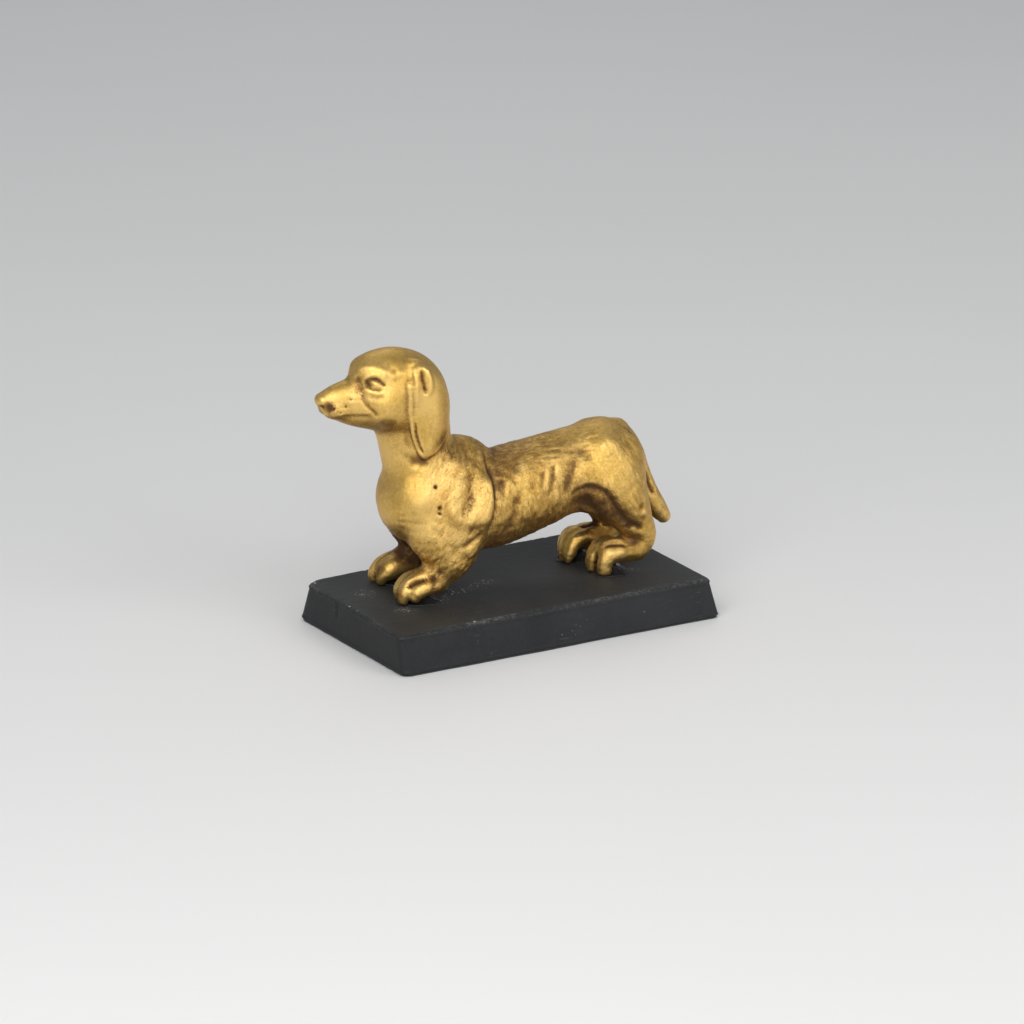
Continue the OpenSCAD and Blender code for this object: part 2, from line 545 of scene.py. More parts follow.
@dataclass(frozen=True)
class Placing:
    """Where the dog's own frame stands on the plinth, in millimetres and degrees."""

    top: float
    x: float = -8.0
    y: float = 3.4
    turn: float = 6.2

    def to_row(self, points: Array) -> Array:
        """Turns points about the upright axis, clockwise from above, and stands them on the plinth."""
        c, s = math.cos(math.radians(self.turn)), math.sin(math.radians(self.turn))
        x, y, z = points.T
        return np.stack([self.x + x * c + y * s, self.y - x * s + y * c, self.top + z], axis=1)


@dataclass
class Dog:
    """The cast dog: sizes in its own frame, and how it is modelled."""

    placing: Placing
    fore_left: float = -14.0
    fore_right: float = 12.4
    hind_left: float = -11.5
    hind_right: float = 10.0
    hind_left_step: float = 0.8
    hind_right_step: float = 6.0
    step_shares: tuple[float, ...] = (0.2, 0.3, 0.6, 0.9, 1.0)
    ear_curl: float = -0.062
    sole: float = 0.3
    hair_width: float = 1.3
    hair_length: float = 3.8
    hair_height: float = 0.34
    hammer_size: float = 3.2
    hammer_height: float = 0.22
    lump_size: float = 9.0
    lump_height: float = 0.28
    bare_lumps: float = 0.15
    recess_rounds: int = 5
    recess_gain: float = 2.4
    hollow_rounds: int = 30
    hollow_gain: float = 0.6
    most_stain_and_shade: float = 1.6
    grids: tuple[tuple[tuple[float, ...], tuple[float, ...]], ...] = (
        ((-80, -20, -10, 86), (0.54, 0.54, 0.80, 0.80)),
        ((-28, 28), (0.62, 0.62)),
        ((-2, 16, 24, 60, 66, 108), (0.55, 0.55, 0.80, 0.80, 0.55, 0.55)),
    )

    torso: tuple[Ball, ...] = balls(
        (-28, 0, 39, 18.5, 1.02), (-16, 0, 37, 20.3, 0.98), (-2, 0, 34.9, 20.6, 0.93),
        (14, 0, 38, 19.4, 0.92), (28, 0, 41.3, 18.2, 0.92), (42, 0, 44, 17.6, 0.93),
        (50, 0, 45.5, 16.6, 0.95),
    )
    neck: tuple[Ball, ...] = balls(
        (-27, 0, 46, 17.5, 0.95), (-32.4, 0, 58, 15.2, 0.93), (-34.6, 0, 70, 15.6, 0.86),
        (-37, 0, 82, 17.2, 0.79),
    )
    muzzle: tuple[Ball, ...] = balls(
        (-50, 0, 83.2, 12.4, 0.88), (-58, 0, 83.6, 10.6, 0.78), (-66, 0, 84.4, 7.8, 0.78),
        (-70.4, 0, 85, 5.5, 0.86),
    )
    ear_root: tuple[Ball, ...] = balls((-37, 9.2, 97.2, 4, 0.7), (-35.4, 11.8, 91, 6.5, 0.5))
    ear: tuple[Ball, ...] = balls(
        (-36, 11.9, 95, 4.6, 0.44), (-33.8, 13, 90, 7.4, 0.32), (-31.6, 13.5, 83, 9.7, 0.25),
        (-31.4, 13.6, 75, 9.8, 0.24), (-33, 13.7, 68, 6.4, 0.34), (-35.2, 13.9, 61.8, 2.2, 0.8),
    )
    foreleg: tuple[Ball, ...] = balls(
        (-19.5, 0, 33, 12, 0.78), (-23.2, 0, 25, 13.2, 0.67), (-24.8, 0, 17.5, 10.4, 0.78),
        (-29, 0, 11.8, 7.2, 0.92), (-33, 0, 8.6, 5.8, 1),
    )
    forepaw: tuple[Ball, ...] = balls(
        (-31, 0, 8, 5.8, 1), (-37, 0, 7.2, 5.8, 1.15), (-41, 0, 6.2, 4.8, 1.3),
    )
    fore_toes: tuple[tuple[Ball, ...], ...] = (
        balls((-36, -1.8, 8.4, 3.6), (-42, -2.2, 7.2, 3.7), (-45.6, -2.6, 4.4, 2.9), (-46.2, -2.7, 1.9, 2.3)),
        balls((-36, 3.2, 8, 4.2), (-41, 3.6, 6.9, 4.3), (-44.4, 3.4, 4.8, 3.3), (-45.2, 3.2, 2.5, 2.3)),
        balls((-33, -5.4, 7.6, 3.1), (-38, -6, 7, 3.2), (-41, -6, 5.2, 2.8), (-42, -6, 3.6, 2.2)),
    )
    thigh: tuple[Ball, ...] = balls(
        (51, 0, 38, 13, 0.75), (56, 0, 29, 10.5, 0.75), (61, 0, 20, 7.8, 0.8), (64.3, 0, 13.8, 6.2, 0.85),
        (62.6, 0, 9.8, 5.8, 0.9),
    )
    hindpaw: tuple[Ball, ...] = balls(
        (60.5, 0, 8.9, 5.6, 0.95), (54, 0, 8.8, 5.4, 1.12), (48.5, 0, 9, 5, 1.4),
    )
    hind_toes: tuple[tuple[Ball, ...], ...] = (
        balls((52, -3.6, 9, 3.5), (47.8, -3.8, 8.2, 3.7), (45.8, -3.8, 5, 3.2), (45.6, -3.8, 1.6, 2.9)),
        balls((51, 1, 11, 3.1), (46.4, 1.6, 10.2, 3.2), (43.4, 2.2, 5.6, 2.7), (42.6, 2.4, 1.7, 1.9)),
        balls((51, 5, 10.6, 2.9), (46.6, 5.4, 9.4, 3.1), (44, 5.8, 4.6, 2.6), (43, 6.2, 1.6, 1.5)),
    )
    tail: tuple[Ball, ...] = balls(
        (57, 0, 57, 5.4), (64.5, 0, 47, 4.6), (68.5, 0, 36, 4.3), (72.6, 0, 27, 4.2), (76.4, 0, 20.5, 4),
        (78.8, 0, 17.2, 3.3),
    )

    def _trunk(self, clay: Clay) -> None:
        """Body, neck, rump, chest, withers, shoulders, thighs and tail."""
        clay.limb(self.torso, 3.0)
        clay.muscle((50, 0, 45), (14.5, 15.5, 17.5), 6.0)
        clay.muscle((-33, 0, 39.5), (16.2, 18.8, 18.5), 6.0)
        clay.limb(self.neck, 5.0)
        clay.muscle((-15, 0, 50.8), (14.5, 13.5, 12.8), 6.0)
        clay.muscles((-18, 10.5, 40), (12.5, 10.5, 19), 4.0, pitch=-12)
        clay.muscles((-31, 12.5, 28), (10, 8, 11), 6.0)
        clay.muscles((50, 8.0, 41), (15, 9.5, 18), 7.0, pitch=20)
        clay.muscles((38, 17.5, 30), (12, 5.5, 6.5), 4.0, pitch=-8, hollow=True)
        clay.limb(self.tail, 1.6)

    def _head(self, clay: Clay) -> None:
        """Skull, brow, muzzle, cheeks, nose and ears."""
        clay.muscle((-42.2, 0, 86.8), (19.2, 14.5, 17.0), 4.0)
        clay.muscle((-51.2, 0, 92.8), (10.8, 10.4, 10.6), 4.0)
        clay.muscle((-45.5, 0, 94.8), (9.5, 9.5, 8.8), 5.0)
        clay.limb(self.muzzle, 3.0)
        clay.muscles((-47, 9.0, 82.5), (9, 5.5, 9), 4.0)
        clay.muscles((-69, 3.2, 81.6), (5.5, 3.2, 3.4), 2.5)
        clay.muscle((-74.0, 0, 86.0), (3.0, 3.9, 2.9), 1.2)
        for side in SIDES:
            clay.limb([b.moved(side=side) for b in self.ear_root], 3.0)
            clay.limb([b.moved(side=side) for b in self.ear], 0.7, wrap=self.ear_curl * side)

    def _toes(
        self, clay: Clay, toes: Iterable[Sequence[Ball]], dx: float, y: float, side: float, blend: float
    ) -> None:
        """Adds a paw's toes.

        Args:
            clay: What they are added to.
            toes: The toes' balls, with y measured outwards from the paw's middle as minus.
            dx: How far back the paw stands.
            y: The paw's middle.
            side: -1 for a left paw, 1 for a right one.
            blend: How widely the toes melt together.
        """
        for toe in toes:
            clay.limb([b.moved(dx, y, -side) for b in toe], blend)

    def _legs(self, clay: Clay) -> None:
        """The four legs with their paws."""
        for y, side in ((self.fore_left, -1.0), (self.fore_right, 1.0)):
            clay.limb([b.moved(dy=y) for b in self.foreleg], 7.0)
            clay.limb([b.moved(dy=y) for b in self.forepaw], 2.5)
            self._toes(clay, self.fore_toes, 0.0, y, side, 2.6)
        hind = ((self.hind_left, self.hind_left_step, -1.0), (self.hind_right, self.hind_right_step, 1.0))
        for y, step, side in hind:
            clay.limb([b.moved(-step * s, y) for b, s in zip(self.thigh, self.step_shares)], 5.0)
            clay.limb([b.moved(-step, y) for b in self.hindpaw], 2.5)
            self._toes(clay, self.hind_toes, -step, y, side, 1.8)

    @staticmethod
    def _body_strokes() -> list[Stroke]:
        """The folds and muscles of the body and the legs."""
        return [
            # The crease behind the shoulder
            Stroke(((-9, -4, 61), (-7, -9, 57), (-6.5, -13, 52), (-6.5, -16.5, 47), (-7, -18.5, 41),
                (-8.5, -19.5, 34), (-10, -18.5, 27), (-12, -17, 21)), 2, -1.1, stain_and_shade=0.35, right=1.5,
                reach=4.5, ends=0.3),
            Stroke(((-6.5, -13.5, 51), (-6.5, -17, 46), (-7.5, -19, 40), (-9, -19.5, 33)), 1.2, -0.7,
                stain_and_shade=0.3),
            # The shoulder blade's edge, the groove before it and the upper arm
            Stroke(((-10, -15, 52), (-9, -18, 47), (-9.8, -20, 41), (-12, -21.5, 35), (-16, -22.5, 30)),
                3.4, 1.9),
            Stroke(((-14, -17, 55), (-16, -19.5, 49), (-17.5, -21, 43), (-20, -22, 38), (-22.5, -22.5, 34)),
                3, -1.9, stain_and_shade=0.2),
            Stroke(((-22, -17, 53), (-24, -19.5, 46), (-26, -20.5, 39), (-27, -21.5, 33)), 4, 0.9),
            # The elbow
            Stroke(((-12.5, -21, 28.5), (-18, -22.5, 25), (-23.5, -23, 22)), 1.5, -0.9, stain_and_shade=0.3, left=0.5,
                reach=2.5),
            Stroke(((-13, -20.5, 25), (-17, -21.5, 21), (-20, -21.5, 18)), 2.2, 0.8),
            # The chest's lower line, and the inside of the foreleg
            Stroke(((-47, -6, 27), (-40, -13, 27), (-33, -19, 28), (-26, -22.5, 29.5)), 3.4, -0.2,
                stain_and_shade=0.1),
            Stroke(((-42, -6, 24), (-36.5, -7.5, 19), (-33.5, -8.5, 15), (-36, -9.4, 12.4)), 1.2, 0.8),
            # Shallow folds across the chest
            Stroke(((-47, -9, 37), (-44, -14, 37), (-38, -18, 38)), 0.9, -0.2, stain_and_shade=0.1),
            Stroke(((-48, -7, 34), (-44, -13, 34), (-38, -18, 34.5), (-34, -20, 34)), 1, -0.18, stain_and_shade=0.1),
            Stroke(((-46, -9, 31), (-41, -14, 30.6), (-36, -18, 31)), 1.2, -0.2, stain_and_shade=0.1),
            # The hollow behind the elbow, and the rib behind it
            Stroke(((5, -18, 43), (3, -19, 35), (1, -18, 28), (-2, -16, 23)), 2.4, -1, stain_and_shade=0.45,
                left=0.4),
            Stroke(((12, -18, 42), (10.5, -18.5, 36), (8, -18, 29)), 2.6, 0.45),
            # Ribs
            Stroke(((22.5, -13, 52), (21.5, -15.5, 47), (20, -16.5, 41), (17.5, -17, 37)), 1.8, -0.8,
                stain_and_shade=0.18, left=0.6, reach=3.0),
            Stroke(((17.5, -15, 49.5), (16.5, -16.5, 45), (14.8, -17.5, 41)), 1.5, -0.55, stain_and_shade=0.12,
                left=0.4, reach=2.0),
            Stroke(((12.5, -16.5, 46), (11.5, -17.5, 42)), 1.1, -0.3, stain_and_shade=0.15),
            # The hollow before the thigh
            Stroke(((33, -13, 53), (30, -16, 47), (27.5, -17, 41), (25, -16, 36.5)), 3.2, -1, stain_and_shade=0.25,
                left=0.6),
            # A short rib close behind the shoulder
            Stroke(((-1, -15, 49), (-2.5, -17, 44), (-4, -18, 38)), 2, -0.6, stain_and_shade=0.15),
            # The thigh's lower edge
            Stroke(((26, -14, 35), (32, -16, 38.6), (39, -17.5, 39.4), (44.5, -19, 36), (49, -19, 29),
                (54, -18, 23), (61, -18, 18.5)), 2.5, -1, stain_and_shade=0.5, left=1.2, reach=4.5),
            # The crease beside the tail
            Stroke(((57, -5, 61), (61.5, -7, 56), (65, -6.6, 49), (67, -5.8, 42), (70, -5.2, 34),
                (73, -4.6, 27)), 1.2, -1, stain_and_shade=0.7, ends=0.1),
            # The hock's crease
            Stroke(((52.5, -17, 19.5), (57, -18, 20.5), (62, -17, 19)), 1.4, -0.8, stain_and_shade=0.7),
            # The hind paw's ridges and grooves
            Stroke(((43.5, -8.6, 11), (46, -8.8, 12.5), (50, -9.4, 13.5), (55, -10, 13.6)), 1.2, -1.2,
                stain_and_shade=0.9),
            Stroke(((45, -12.2, 11.6), (50, -12.8, 12.4), (55, -13.4, 12.4)), 0.9, 0.6),
            Stroke(((45.5, -14.4, 10.6), (50, -15, 11.2), (54, -15.6, 11)), 0.9, -0.9, stain_and_shade=0.8),
            Stroke(((45.5, -5.6, 12.4), (50, -6.4, 13.2), (54, -7, 13.6)), 1, 0.5),
            Stroke(((43.4, -11.4, 9), (43.8, -11.6, 5.5), (44, -11.8, 2.5)), 0.9, -0.9, stain_and_shade=0.8),
            # The front paw's grooves
            Stroke(((-44.4, -17.4, 6.6), (-42, -17.8, 8.2), (-39, -18.2, 8.8), (-36.5, -18.8, 9)), 1.3,
                -1.7, stain_and_shade=0.9, ends=0.2),
            Stroke(((-45.4, -13.4, 6.6), (-42, -13.2, 10), (-38, -13, 11.6)), 0.9, -0.4, stain_and_shade=0.2),
            # The crease at the front wrist
            Stroke(((-33, -18, 12), (-34.5, -19.8, 9), (-36, -20.6, 6)), 1.4, -0.7, stain_and_shade=0.5),
        ]

    @staticmethod
    def _face_strokes() -> list[Stroke]:
        """Brow, lids, creases and mouth."""
        return [
            # Brow
            Stroke(((-60.5, -1.5, 96), (-58, -4, 98.2), (-53.5, -8, 98.6), (-49.5, -11, 96.4)), 2, 0.55),
            # Upper lid and its fold
            Stroke(((-59.6, -6.6, 93.4), (-58, -7.8, 95.6), (-55.5, -9, 96.7), (-52.6, -10.4, 95.6),
                (-50.4, -12, 91.6)), 1, 0.35, ends=0.2),
            Stroke(((-59.2, -7.3, 92.7), (-57.2, -8.5, 94.7), (-54.9, -9.7, 95.2), (-52.6, -11, 94),
                (-51, -12, 91.4)), 0.8, -0.75, stain_and_shade=0.6, ends=0.2),
            # Lower lid, the line under it and the bag under that
            Stroke(((-58.4, -8, 90.6), (-56, -10, 89.2), (-53.6, -11.4, 89), (-51.2, -12.3, 90.4)), 0.9,
                0.25),
            Stroke(((-58.9, -7.6, 91.9), (-56.9, -9, 90.9), (-54.2, -10.9, 90.3), (-51.8, -12, 90.9)), 0.6,
                -0.35, stain_and_shade=0.25),
            Stroke(((-58, -9, 88.6), (-55, -11.2, 87.4), (-51.4, -12.6, 88.2)), 1.2, -0.3, stain_and_shade=0.2),
            # The hollow where the muzzle starts
            Stroke(((-60.6, -4, 96.4), (-60.2, -6.2, 92.6), (-60.2, -7.6, 88.6)), 2, -0.5, stain_and_shade=0.45),
            # The crease from the eye to the mouth
            Stroke(((-59.9, -7.4, 90), (-59.6, -8.6, 86.4), (-57.8, -10.2, 83), (-54.4, -12, 79.8)), 1.3,
                -0.55, stain_and_shade=0.35, right=0.4, reach=3.0, ends=0.12),
            # Mouth
            Stroke(((-73.5, -2.4, 79.6), (-68, -5.6, 79.8), (-63, -7.4, 79.4), (-58.5, -9.4, 79.4),
                (-54.4, -11.8, 79.8)), 1.6, -0.25, stain_and_shade=0.12, left=0.4, reach=2.5),
            # The hollow before the ear
            Stroke(((-41.6, -12, 98), (-42, -14.3, 93), (-42.4, -14.8, 88), (-42.8, -14.8, 82),
                (-43, -14.2, 76)), 2.2, -0.5, stain_and_shade=0.3),
            Stroke(((-43.4, -13.4, 74), (-43.2, -13.6, 68), (-41.4, -13.6, 63)), 1.6, -0.4, stain_and_shade=0.3),
            # The jaw's lower edge
            Stroke(((-54, -10.5, 77.5), (-50.5, -12.4, 75.6), (-46.5, -12.6, 75)), 2.8, -0.4, stain_and_shade=0.15),
            # The split under the nose
            Stroke(((-76.6, 0, 83.6), (-75.8, 0, 81), (-73.6, 0, 79)), 0.5, -0.4, stain_and_shade=0.8, both=False),
        ]

    @staticmethod
    def _ear_strokes() -> list[Stroke]:
        """The fold at the top of the ear, and its rim."""
        return [
            # The fold: its front edge, its hollow and its back edge
            Stroke(((-38.6, -12.6, 99), (-38.8, -14.4, 94), (-38.8, -15.2, 88), (-39, -15.4, 82)), 1.2,
                0.8),
            Stroke(((-36, -12.6, 98.2), (-36, -14, 94.6), (-35.4, -15, 90.6), (-34.6, -15.4, 87.2)), 0.85,
                -1.1, stain_and_shade=0.4),
            Stroke(((-35.2, -12.2, 99.4), (-33.4, -13.6, 95.4), (-32.8, -14.6, 91), (-33.8, -15.4, 86.5)),
                1.1, 0.9),
            # The rim, and the groove inside it
            Stroke(((-41.2, -14.2, 94), (-41.6, -14.8, 86), (-41.6, -15, 78), (-41, -15, 71),
                (-39, -15, 65.5), (-36.2, -15, 61)), 0.9, 0.65, ends=0.08),
            Stroke(((-39.6, -15.4, 77), (-39.4, -15.6, 71), (-38, -15.6, 66), (-35.8, -15.4, 62.4)), 0.7,
                -0.7, stain_and_shade=0.6, ends=0.15),
            # The rim's back edge
            Stroke(((-33.6, -15, 61.5), (-29.5, -13.8, 63.4), (-25.4, -11.6, 67), (-23, -9.6, 71)), 0.9,
                0.6),
            # The swelling in the middle
            Stroke(((-32, -15.6, 84), (-31, -15.6, 76), (-33, -15.6, 69)), 3, 0.3),
        ]

    @staticmethod
    def _presses() -> list[Press]:
        """Pits, bumps, eyes and nostrils, where patina has settled, and painted shade under the body and
        between the legs.

        A dent's row has its place, radius, height and darkening, a dark spot's has its place, radius and
        darkening, and those of the single rows have no mirror image.
        """
        dents = (
            (-55.3, -10.3, 92.6, 4.6, -0.6), (-54.7, -10.8, 92.3, 1.9, 0.55, 0.3),
            (-57, -8.6, 92.8, 1.3, -0.5, 1), (-75, -2.6, 84, 1, -0.6, 0.6), (-66, -6, 84, 0.6, -0.5, 0.5),
            (-64, -7, 87, 0.6, -0.4, 0.4), (-71, -5, 83, 0.6, -0.4, 0.4), (-68.4, -5.6, 82, 0.5, -0.4, 0.4),
            (-50, -11, 97, 2, 0.5), (-47, -11.8, 98.4, 1.6, -0.3, 0.35), (-44.6, -12.4, 97.4, 1.6, 0.3),
            (-46.6, -13, 94.4, 1.4, -0.25, 0.25), (-49, -12.5, 84, 4.5, 0.5),
            (-39.2, -13.2, 59, 2.4, -1.1, 0.35), (-42.6, -12, 61, 2.2, -0.5, 0.15),
            (-36, -14, 58.6, 2.2, -0.7, 0.2), (-18, -22, 30, 2.2, -1.1, 0.5), (61, -18, 26, 1.8, 1.4),
            (59.5, -18, 29, 1.6, -0.6, 0.5), (47, -13.5, 56, 5.5, 1.5), (55, -12, 54, 4.2, -1.5, 0.35),
            (61, -8, 51, 4.2, 1.1), (37, -13, 55, 5.5, -1.4, 0.35), (52, -18, 41, 6, -0.9, 0.15),
            (56, -17, 32, 6, 1.2), (14, -18, 32, 7, 0.6), (44, -11.4, 6, 1.8, -0.7, 1),
            (44.4, -7, 7, 1.6, -0.6, 0.9), (58, -16, 12, 3, -0.6, 0.5), (-24, -21, 14, 4, 0.5),
            (-31, -19.6, 12.5, 2, -0.6, 0.3),
        )
        # Most of these are patina and worn red bole; those on the belly, in the arches before the thighs and
        # under the ear tip are painted shade.
        stain_and_shade_spots = (
            (-72.4, -3.8, 84.4, 2.2, 1.1), (-71.4, -4.4, 82.2, 2.2, 1), (-69.6, -5.4, 83, 1.2, 0.6),
            (-61, -5, 92, 4.5, 0.3), (-49.5, -12.8, 76.5, 2.4, 0.4), (-46, -9, 68, 5.5, 0.25),
            (-27.6, -13.4, 68.4, 3.6, 0.85), (-24, -13.5, 62, 3, 0.7), (-19, -11, 60, 5, 0.3),
            (0, -12, 53, 8, 0.45), (-3, -17, 45, 5, 0.35), (6, 0, 57, 18, 0.18), (27, -16, 44, 5, 0.5),
            (30, -12, 54, 6, 0.3), (37, -15, 31, 9, 0.7), (47, -15, 27, 8, 0.7), (55, -15, 21, 5, 0.5),
            (0, -14, 21, 8, 0.5), (20, -10, 25, 9, 0.3), (-18, -21, 42, 4, 0.35), (-33, -19, 8, 4, 0.65),
            (-46, -15, 3, 3, 0.6), (58, -18, 10, 5, 0.35), (78, -2, 18, 2.6, 0.5), (76, 2, 22, 2, 0.4),
            (-30, -22, 12, 5, 0.4), (-47, -10, 27, 6, 0.15),
        )
        # The spots on the far foreleg, between the forelegs and between the hind legs are painted shade; the
        # elbow pits, the far paw's hollow and the near toe's tip are patina and wear.
        single = (
            (-32, -17.8, 49, 0.8, -1.1, 1), (-31, -20, 40, 0.8, -1.1, 1), (-31, -20, 38.2, 0.7, -1, 1),
            (45, 0, 22, 10, 0, 0.7), (-30, 7, 17, 10, 0, 1.5), (-24, -3, 18, 8, 0, 1.2),
            (-46.4, 9, 6.2, 3.4, -0.7, 1.6), (-33, 7, 14, 6, 0, 1.2), (-48, -16.4, 3.4, 3.2, 0, 1.3),
        )
        return [
            *(Press((x, y, z), *rest) for x, y, z, *rest in dents),
            *(Press((x, y, z), radius, 0.0, stain_and_shade) for x, y, z, radius, stain_and_shade in stain_and_shade_spots),
            *(Press((x, y, z), *rest, both=False) for x, y, z, *rest in single),
        ]

    @staticmethod
    def _coats() -> list[Coat]:
        """How the hair lies from place to place."""
        return [
            Coat((-25, -17, 55), 13, Lie.FORWARD_DOWN, 0.8), Coat((8, -18, 38), 17, Lie.DOWN, 0.6),
            Coat((10, -6, 55), 15, Lie.BACK, 0.55), Coat((30, -6, 60), 15, Lie.BACK, 0.4),
            Coat((50, -16, 44), 17, Lie.BACK_DOWN, 0.38), Coat((-24, -18, 22), 12, Lie.FORWARD_DOWN, 0.8),
            Coat((52, -14, 8), 9, Lie.BACK, 0.3), Coat((-43, -8, 42), 14, Lie.DOWN, 0.22),
            Coat((72, -2, 30), 12, Lie.BACK_DOWN, 0.4), Coat((-42, -14, 5), 8, Lie.BACK, 0.2),
            Coat((-40, -12, 80), 23, Lie.DOWN, 0.06), Coat((-60, -8, 86), 14, Lie.BACK, 0.04),
        ]

    def _hair(self, skin: Skin) -> Array:
        """Tooled hair, and how much each way of lying counts at each point.

        A coat's weight is exp(-2 (d / size)^2), with d the distance to its middle. The hair is noise
        stretched along each lie, mixed by the weights times the depths. It marks the skin with the share
        of each lie, and with how furred it is.

        Args:
            skin: The surface that the hair is cut into.

        Returns:
            The hair's height at each point, from about -1 to 1.
        """
        folded = np.abs(skin.points) * (0.0, -1.0, 0.0) + skin.points * (1.0, 0.0, 1.0)
        weights = {lie: np.full(len(folded), 1e-6) for lie in Lie}
        depths = {lie: np.zeros(len(folded)) for lie in Lie}
        for coat in self._coats():
            weight = np.exp(-2.0 * (np.linalg.norm(folded - coat.centre, axis=1) / coat.size) ** 2)
            weights[coat.lie] += weight
            depths[coat.lie] += weight * coat.depth
        whole = sum(weights.values())
        wander = 1.4 * value_noise(skin.points / 8.0, 40)
        total = np.zeros(len(folded))
        for index, lie in enumerate(Lie):
            ahead, up = lie.value
            along = folded[:, 0] * ahead + folded[:, 2] * up
            across = folded[:, 2] * ahead - folded[:, 0] * up + wander
            place = np.stack(
                [along / self.hair_length, across / self.hair_width, skin.points[:, 1] / 2.5], axis=1
            )
            strands = value_noise(place, 50 + index) + 0.4 * value_noise(place * 2, 70 + index)
            total += depths[lie] / whole * strands
            skin.marks[f"lie_{lie.name.lower()}"] = weights[lie] / whole
        skin.marks["furred"] = sum(depths.values()) / whole
        return total

    def model(self) -> Skin:
        """Models the dog in clay, takes its skin, and tools the marks and the hair into it."""
        clay = Clay(*(uneven_axis(places, steps) for places, steps in self.grids))
        self._trunk(clay)
        self._head(clay)
        self._legs(clay)
        clay.cut_below(self.sole, 0.4)
        skin = clay.skin()
        height, stain_and_shade = np.zeros(len(skin.points)), np.zeros(len(skin.points))
        for tooled in [*self._body_strokes(), *self._face_strokes(), *self._ear_strokes(), *self._presses()]:
            lifted, stain_and_shade_amount = tooled.marks(skin.points)
            height += lifted
            stain_and_shade += stain_and_shade_amount
        hair = self._hair(skin)
        furred = skin.marks["furred"]
        hammered = layered_noise(skin.points, self.hammer_size, 2, 31) * self.hammer_height * furred
        share = self.bare_lumps + (1.0 - self.bare_lumps) * furred
        lumps = layered_noise(skin.points, self.lump_size, 2, 11) * self.lump_height * share
        free = ease(skin.points[:, 2], 0.4, 2.5)
        skin.pushed((height + hair * self.hair_height + hammered + lumps) * free)
        normals = skin.normals()
        # This mark holds patina, worn bole and the painted shade of the dark spots under the body.
        skin.marks["stain_and_shade"] = np.clip(stain_and_shade, 0.0, self.most_stain_and_shade)
        skin.marks["recess"] = np.clip(skin.recess(self.recess_rounds) * self.recess_gain, -1.0, 1.0)
        skin.marks["hollow"] = np.clip(skin.recess(self.hollow_rounds) * self.hollow_gain, -1.0, 1.0)
        # Painted shade: under darkens the faces that look down, and upper darkens the faces that look up, in
        # the gilding.
        skin.marks["under"] = ease(-normals[:, 2], 0.0, 0.7)
        skin.marks["upper"] = ease(normals[:, 2], 0.45, 0.95)
        skin.points = self.placing.to_row(skin.points)
        return skin


# ---------------------------------------------------------------- the plinth and what is under and on it


def rounded_outline(half: tuple[float, float], corners: Sequence[float], turns: Array) -> Array:
    """A rectangle with a radius of its own at each corner, as a function of the share of the way round.

    Each quarter of the way round is one corner's arc between two half sides. The share of the quarter
    that the arc takes is its share of the quarter's length.

    Args:
        half: Half length and half width.
        corners: Radii at (+x, +y), (-x, +y), (-x, -y) and (+x, -y).
        turns: Shares of the way round, from 0 to 1.

    Returns:
        The points, as rows of x and y.
    """
    signs = [(1, 1), (-1, 1), (-1, -1), (1, -1)]
    places = [(half[0], 0.0)]
    for quarter, ((sx, sy), radius) in enumerate(zip(signs, corners)):
        angles = math.pi / 2 * (quarter + np.linspace(0.0, 1.0, 24))
        centre = np.array([sx * (half[0] - radius), sy * (half[1] - radius)])
        arc = centre + radius * np.stack([np.cos(angles), np.sin(angles)], axis=1)
        middle = [(0.0, sy * half[1])] if quarter % 2 == 0 else [(sx * half[0], 0.0)]
        places += [*arc.tolist(), *middle]
    line = np.array(places)
    lengths = np.append(0.0, np.cumsum(np.linalg.norm(np.diff(line, axis=0), axis=1)))
    at = turns * lengths[-1]
    return np.stack([np.interp(at, lengths, line[:, i]) for i in range(2)], axis=1)


def lofted(rings: Array) -> Skin:
    """A closed skin over rings of points, from the first ring to the last, with a pole at each end.

    Args:
        rings: Points by ring, by place round the ring, by axis.

    Returns:
        Quads between the rings, and a fan of triangles to the mean of each end ring.
    """
    count, around = rings.shape[:2]
    index = np.arange(count * around).reshape(count, around)
    turned = np.roll(index, -1, axis=1)
    quads = np.stack([index[:-1], turned[:-1], turned[1:], index[1:]], axis=2).reshape(-1, 4)
    poles = np.stack([rings[0].mean(0), rings[-1].mean(0)])
    first, last = count * around, count * around + 1
    fans = [
        np.stack([turned[0], index[0], np.full(around, first)], axis=1),
        np.stack([index[-1], turned[-1], np.full(around, last)], axis=1),
    ]
    skin = Skin(np.vstack([rings.reshape(-1, 3), poles]), quads, np.vstack(fans))
    skin.outward()
    return skin


def carried(
    low: Array, high: Array, sections: Iterable[tuple[float, float, float]],
    foot: Sequence[float], top: Sequence[float], around: int,
) -> Skin:
    """Carries a section round a rounded rectangle.

    Args:
        low: The rectangle's lowest corner.
        high: Its highest corner.
        sections: For each ring, how far in it lies, its height and its scale about the middle.
        foot: The corners' radii at the foot, as rounded_outline takes them.
        top: The corners' radii at the top.
        around: How many points a ring has.

    Returns:
        The closed skin.
    """
    turns = np.arange(around) / around
    half, middle = (high - low) / 2, (high + low) / 2
    rings = []
    for depth, height, size in sections:
        rise = height / (high[2] - low[2])
        radii = [a + (b - a) * rise for a, b in zip(foot, top)]
        line = rounded_outline((half[0] - depth, half[1] - depth), radii, turns) * size + middle[:2]
        rings.append(np.column_stack([line, np.full(around, low[2] + height)]))
    return lofted(np.array(rings))


